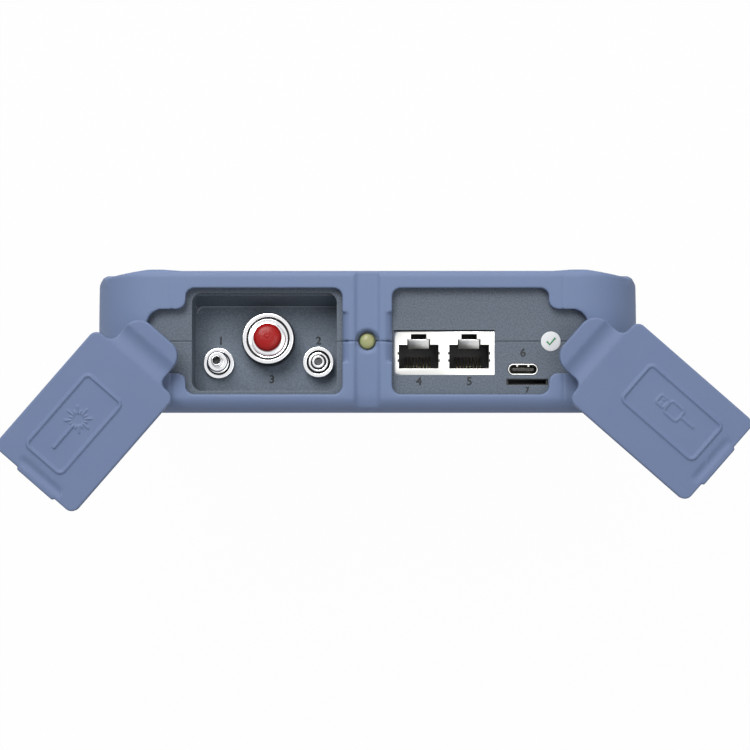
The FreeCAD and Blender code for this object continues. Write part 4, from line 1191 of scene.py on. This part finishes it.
def screws(node, radius, height):
    """A head at each end of each row of a group of screws that face the back."""
    low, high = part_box(node)
    inset = radius * MM
    head = screw_head(radius, height)
    head.transform(Matrix.Rotation(-math.pi / 2, 4, "X"))
    span = (high.x - low.x - 2 * inset, 0, 0)
    heights = {low.z + inset, high.z - inset} if high.z - low.z > 3 * inset else {low.z + inset}
    rows = []
    for z in sorted(heights):
        rows.append(repeated(ROW, head.copy(), MATERIALS["screw_steel"], count=2,
                             Start=(low.x + inset, high.y, z), Step=span))
    piece_from(node + "_heads", to_mesh(joined(rows), node), "housing", "screw_steel", node,
               smooth=CRISP)


def battery_door():
    """Door with a group of finger ribs."""
    eased_node("battery_door", "door_plastic", 0.35 * MM, segments=3)
    rib = block(mm(22.0, 0.7, 0.8), bevel=0.3 * MM)
    start = ((DOOR_LOW.x + DOOR_HIGH.x) / 2, DOOR_HIGH.y, DOOR_LOW.z + 5.0 * MM)
    mesh = repeated(ROW, to_mesh(rib, "rib"), MATERIALS["door_plastic"], count=7, Start=start,
                    Step=(0, 0, RIB_STEP))
    piece_from("battery_door_ribs", mesh, "housing", "door_plastic", smooth=CRISP)


def stand():
    """Folding stand with a row of ribs along its foot."""
    eased_node("kickstand", "stand_plastic", 0.5 * MM, body="stand", segments=3)
    rib = block(mm(1.0, 0.5, 5.0), bevel=0.2 * MM)
    count = 15
    start = (-RIB_STEP * (count - 1) / 2, STAND_HIGH.y, STAND_LOW.z + 4.5 * MM)
    mesh = repeated(ROW, to_mesh(rib, "rib"), MATERIALS["stand_plastic"], count, Start=start,
                    Step=(RIB_STEP, 0, 0))
    piece_from("stand_foot_ribs", mesh, "stand", "stand_plastic", smooth=CRISP)


# Marks


def port_number(text, place, tilt, slot):
    """Plain printed number, its middle at a place, turned about X by the tilt."""
    name = "port_number_" + text
    curve = bpy.data.curves.new(name, "FONT")
    curve.body = text
    curve.size = SMALL_NUMBER_SIZE if text in SMALL_NUMBERS else NUMBER_SIZE
    curve.bevel_depth = 0.09 * MM
    curve.bevel_resolution = 1
    curve.align_x = "CENTER"
    curve.align_y = "CENTER"
    mesh = finished_mesh(new_object(name, curve))
    mesh.transform(Matrix.Diagonal((1.0, 1.0, 0.4, 1.0)))
    mesh.transform(Matrix.Translation(place) @ Matrix.Rotation(tilt, 4, "X"))
    piece_from(name, mesh, "housing", slot, material=PORT_MARK)


def port_numbers():
    """Numbers beside the ports: three on the leaning floor, four on the end face."""
    clear = 0.02 * MM
    for text, x, y in (("1", -45.2, 0.4), ("2", -15.1, 0.5), ("3", -29.4, -11.4)):
        place = port_matrix(mm(x, y)) @ Vector((0, 0, clear))
        port_number(text, place, -PORT_TILT, "tray_plastic")
    spots = (("4", 15.6, -12.1), ("5", 30.8, -12.1), ("6", 47.0, -3.5), ("7", 48.3, -14.7))
    for text, x, y in spots:
        port_number(text, (*mm(x, y), CASE_TOP + clear), 0.0, "grey_plastic")


def seal_label():
    """Round paper seal with a plain printed tick."""
    low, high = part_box("seal_label")
    middle = (low + high) / 2
    radius = (high.x - low.x) / 2 / MM
    place = Matrix.Translation((middle.x, middle.y, low.z))
    turned_piece("seal_disc", "seal_label", "housing", "label_white",
                 ((0, 0), (radius, 0), (radius, 0.1), (radius - 0.1, 0.14), (0, 0.14)), place,
                 edge=0.03)
    tick = tube([mm(-1.2, 0, 0), mm(-0.35, -0.95, 0), mm(1.35, 1.05, 0)], radius=0.3 * MM,
                flat=0.2)
    tick.transform(Matrix.Translation((middle.x, middle.y, high.z)))
    piece_from("seal_tick", tick, "housing", "label_white", material=SEAL_MARK)


# Stage, light and camera


CAMERA_PLACE = Vector((3.84, -19.8, 692.0)) * MM
CAMERA_TARGET = Vector((2.34, -10.2, 112.0)) * MM
CAMERA_LENS = 92.7
AMBIENT = 0.27
WHITE = (1, 1, 1, 1)

# Name, place, target, size and power of each lamp
LAMPS = (("key", (-0.3, 0.66, 1.02), (0, 0, 0.1), (0.8, 0.6), 12.5),
         ("fill", (0.5, -0.1, 1.1), (0, 0, 0.1), (0.8, 0.8), 3.2),
         ("front", (0.2, -1.15, 0.14), (0, 0, 0.06), (1.0, 0.2), 1.6),
         ("back", (0.0, 1.2, 0.4), (0, 0, 0.1), (1.0, 0.3), 3.0))


def camera():
    """Camera that looks straight at the connector end."""
    data = bpy.data.cameras.new("camera")
    data.lens = CAMERA_LENS
    data.sensor_width = 36.0
    data.clip_start = 0.01
    item = new_object("camera", data)
    away = (CAMERA_PLACE - CAMERA_TARGET).normalized()
    right = Vector((0, 1, 0)).cross(away).normalized()
    above = away.cross(right)
    turn = Matrix((right, above, away)).transposed().to_4x4()
    item.matrix_world = Matrix.Translation(CAMERA_PLACE) @ turn
    bpy.context.scene.camera = item


def area_light(name, place, target, size, power):
    """Rectangular lamp at a place, turned to its target."""
    data = bpy.data.lights.new(name, "AREA")
    data.shape = "RECTANGLE"
    data.size, data.size_y = size
    data.energy = power
    item = new_object(name, data)
    way = Vector(place) - Vector(target)
    item.matrix_world = Matrix.Translation(place) @ way.to_track_quat("Z", "Y").to_matrix().to_4x4()


def background_rays(nodes):
    """1 for rays that should meet a white background: from the camera, mirrors and glass."""
    path = nodes.add("ShaderNodeLightPath").outputs
    seen = nodes.maths("ADD", path["Is Camera Ray"], path["Is Glossy Ray"])
    return nodes.maths("ADD", seen, path["Is Transmission Ray"], clamp=True)


def world_light():
    """Even light that is a little stronger from behind, and white where it is seen."""
    world = bpy.data.worlds.new("studio")
    bpy.context.scene.world = world
    nodes = empty_nodes(world)
    way = nodes.add("ShaderNodeTexCoord").outputs["Generated"]
    part = nodes.add("ShaderNodeSeparateXYZ", {0: way})
    side = nodes.maths("MULTIPLY_ADD", part.outputs["Y"], 0.5 * AMBIENT, AMBIENT)
    seen = background_rays(nodes)
    shaded = nodes.maths("MULTIPLY", nodes.maths("SUBTRACT", 1.0, seen), side)
    strength = nodes.maths("ADD", shaded, seen)
    sky = nodes.add("ShaderNodeBackground", {"Color": WHITE, "Strength": strength})
    nodes.add("ShaderNodeOutputWorld", {"Surface": sky.outputs[0]})


def floor():
    """Floor that is seen as white but keeps a trace of the object's shadow."""
    material = bpy.data.materials.new("pale floor")
    nodes = empty_nodes(material)
    paper = nodes.add("ShaderNodeBsdfDiffuse", {"Color": (0.55, 0.55, 0.55, 1)})
    glow = nodes.add("ShaderNodeEmission", {"Color": WHITE, "Strength": 1.0})
    share = nodes.maths("MULTIPLY", background_rays(nodes), 0.98)
    mixed = nodes.add("ShaderNodeMixShader", {0: share, 1: paper.outputs[0], 2: glow.outputs[0]})
    nodes.add("ShaderNodeOutputMaterial", {"Surface": mixed.outputs[0]})
    form = bmesh.new()
    bmesh.ops.create_grid(form, x_segments=8, y_segments=8, size=1.6)
    mesh = to_mesh(form, "floor")
    mesh.materials.append(material)
    new_object("floor", mesh)


def studio():
    """World, lamps and floor, with colours shown as they are."""
    bpy.context.scene.view_settings.view_transform = "Standard"
    world_light()
    for lamp in LAMPS:
        area_light(*lamp)
    floor()


def paint_nodes():
    """Every node gets the material of its own slot."""
    for name, node in NODES.items():
        node.data.materials.clear()
        node.data.materials.append(MATERIALS[SLOT_OF_NODE[name]])


camera()
studio()
paint_nodes()
bumpers()
flap("left")
flap("right")
optical_ports()
pocket_lip()
torch_lens()
network_jack()
oval_socket()
eased_node("card_socket", "black_plastic", 0.08 * MM)
eased_node("screen_glass", "screen_glass", 0.3 * MM, segments=3)
keys()
battery_door()
stand()
screws("case_screws", radius=2.6, height=1.6)
screws("door_screws", radius=2.1, height=0.9)
port_numbers()
seal_label()
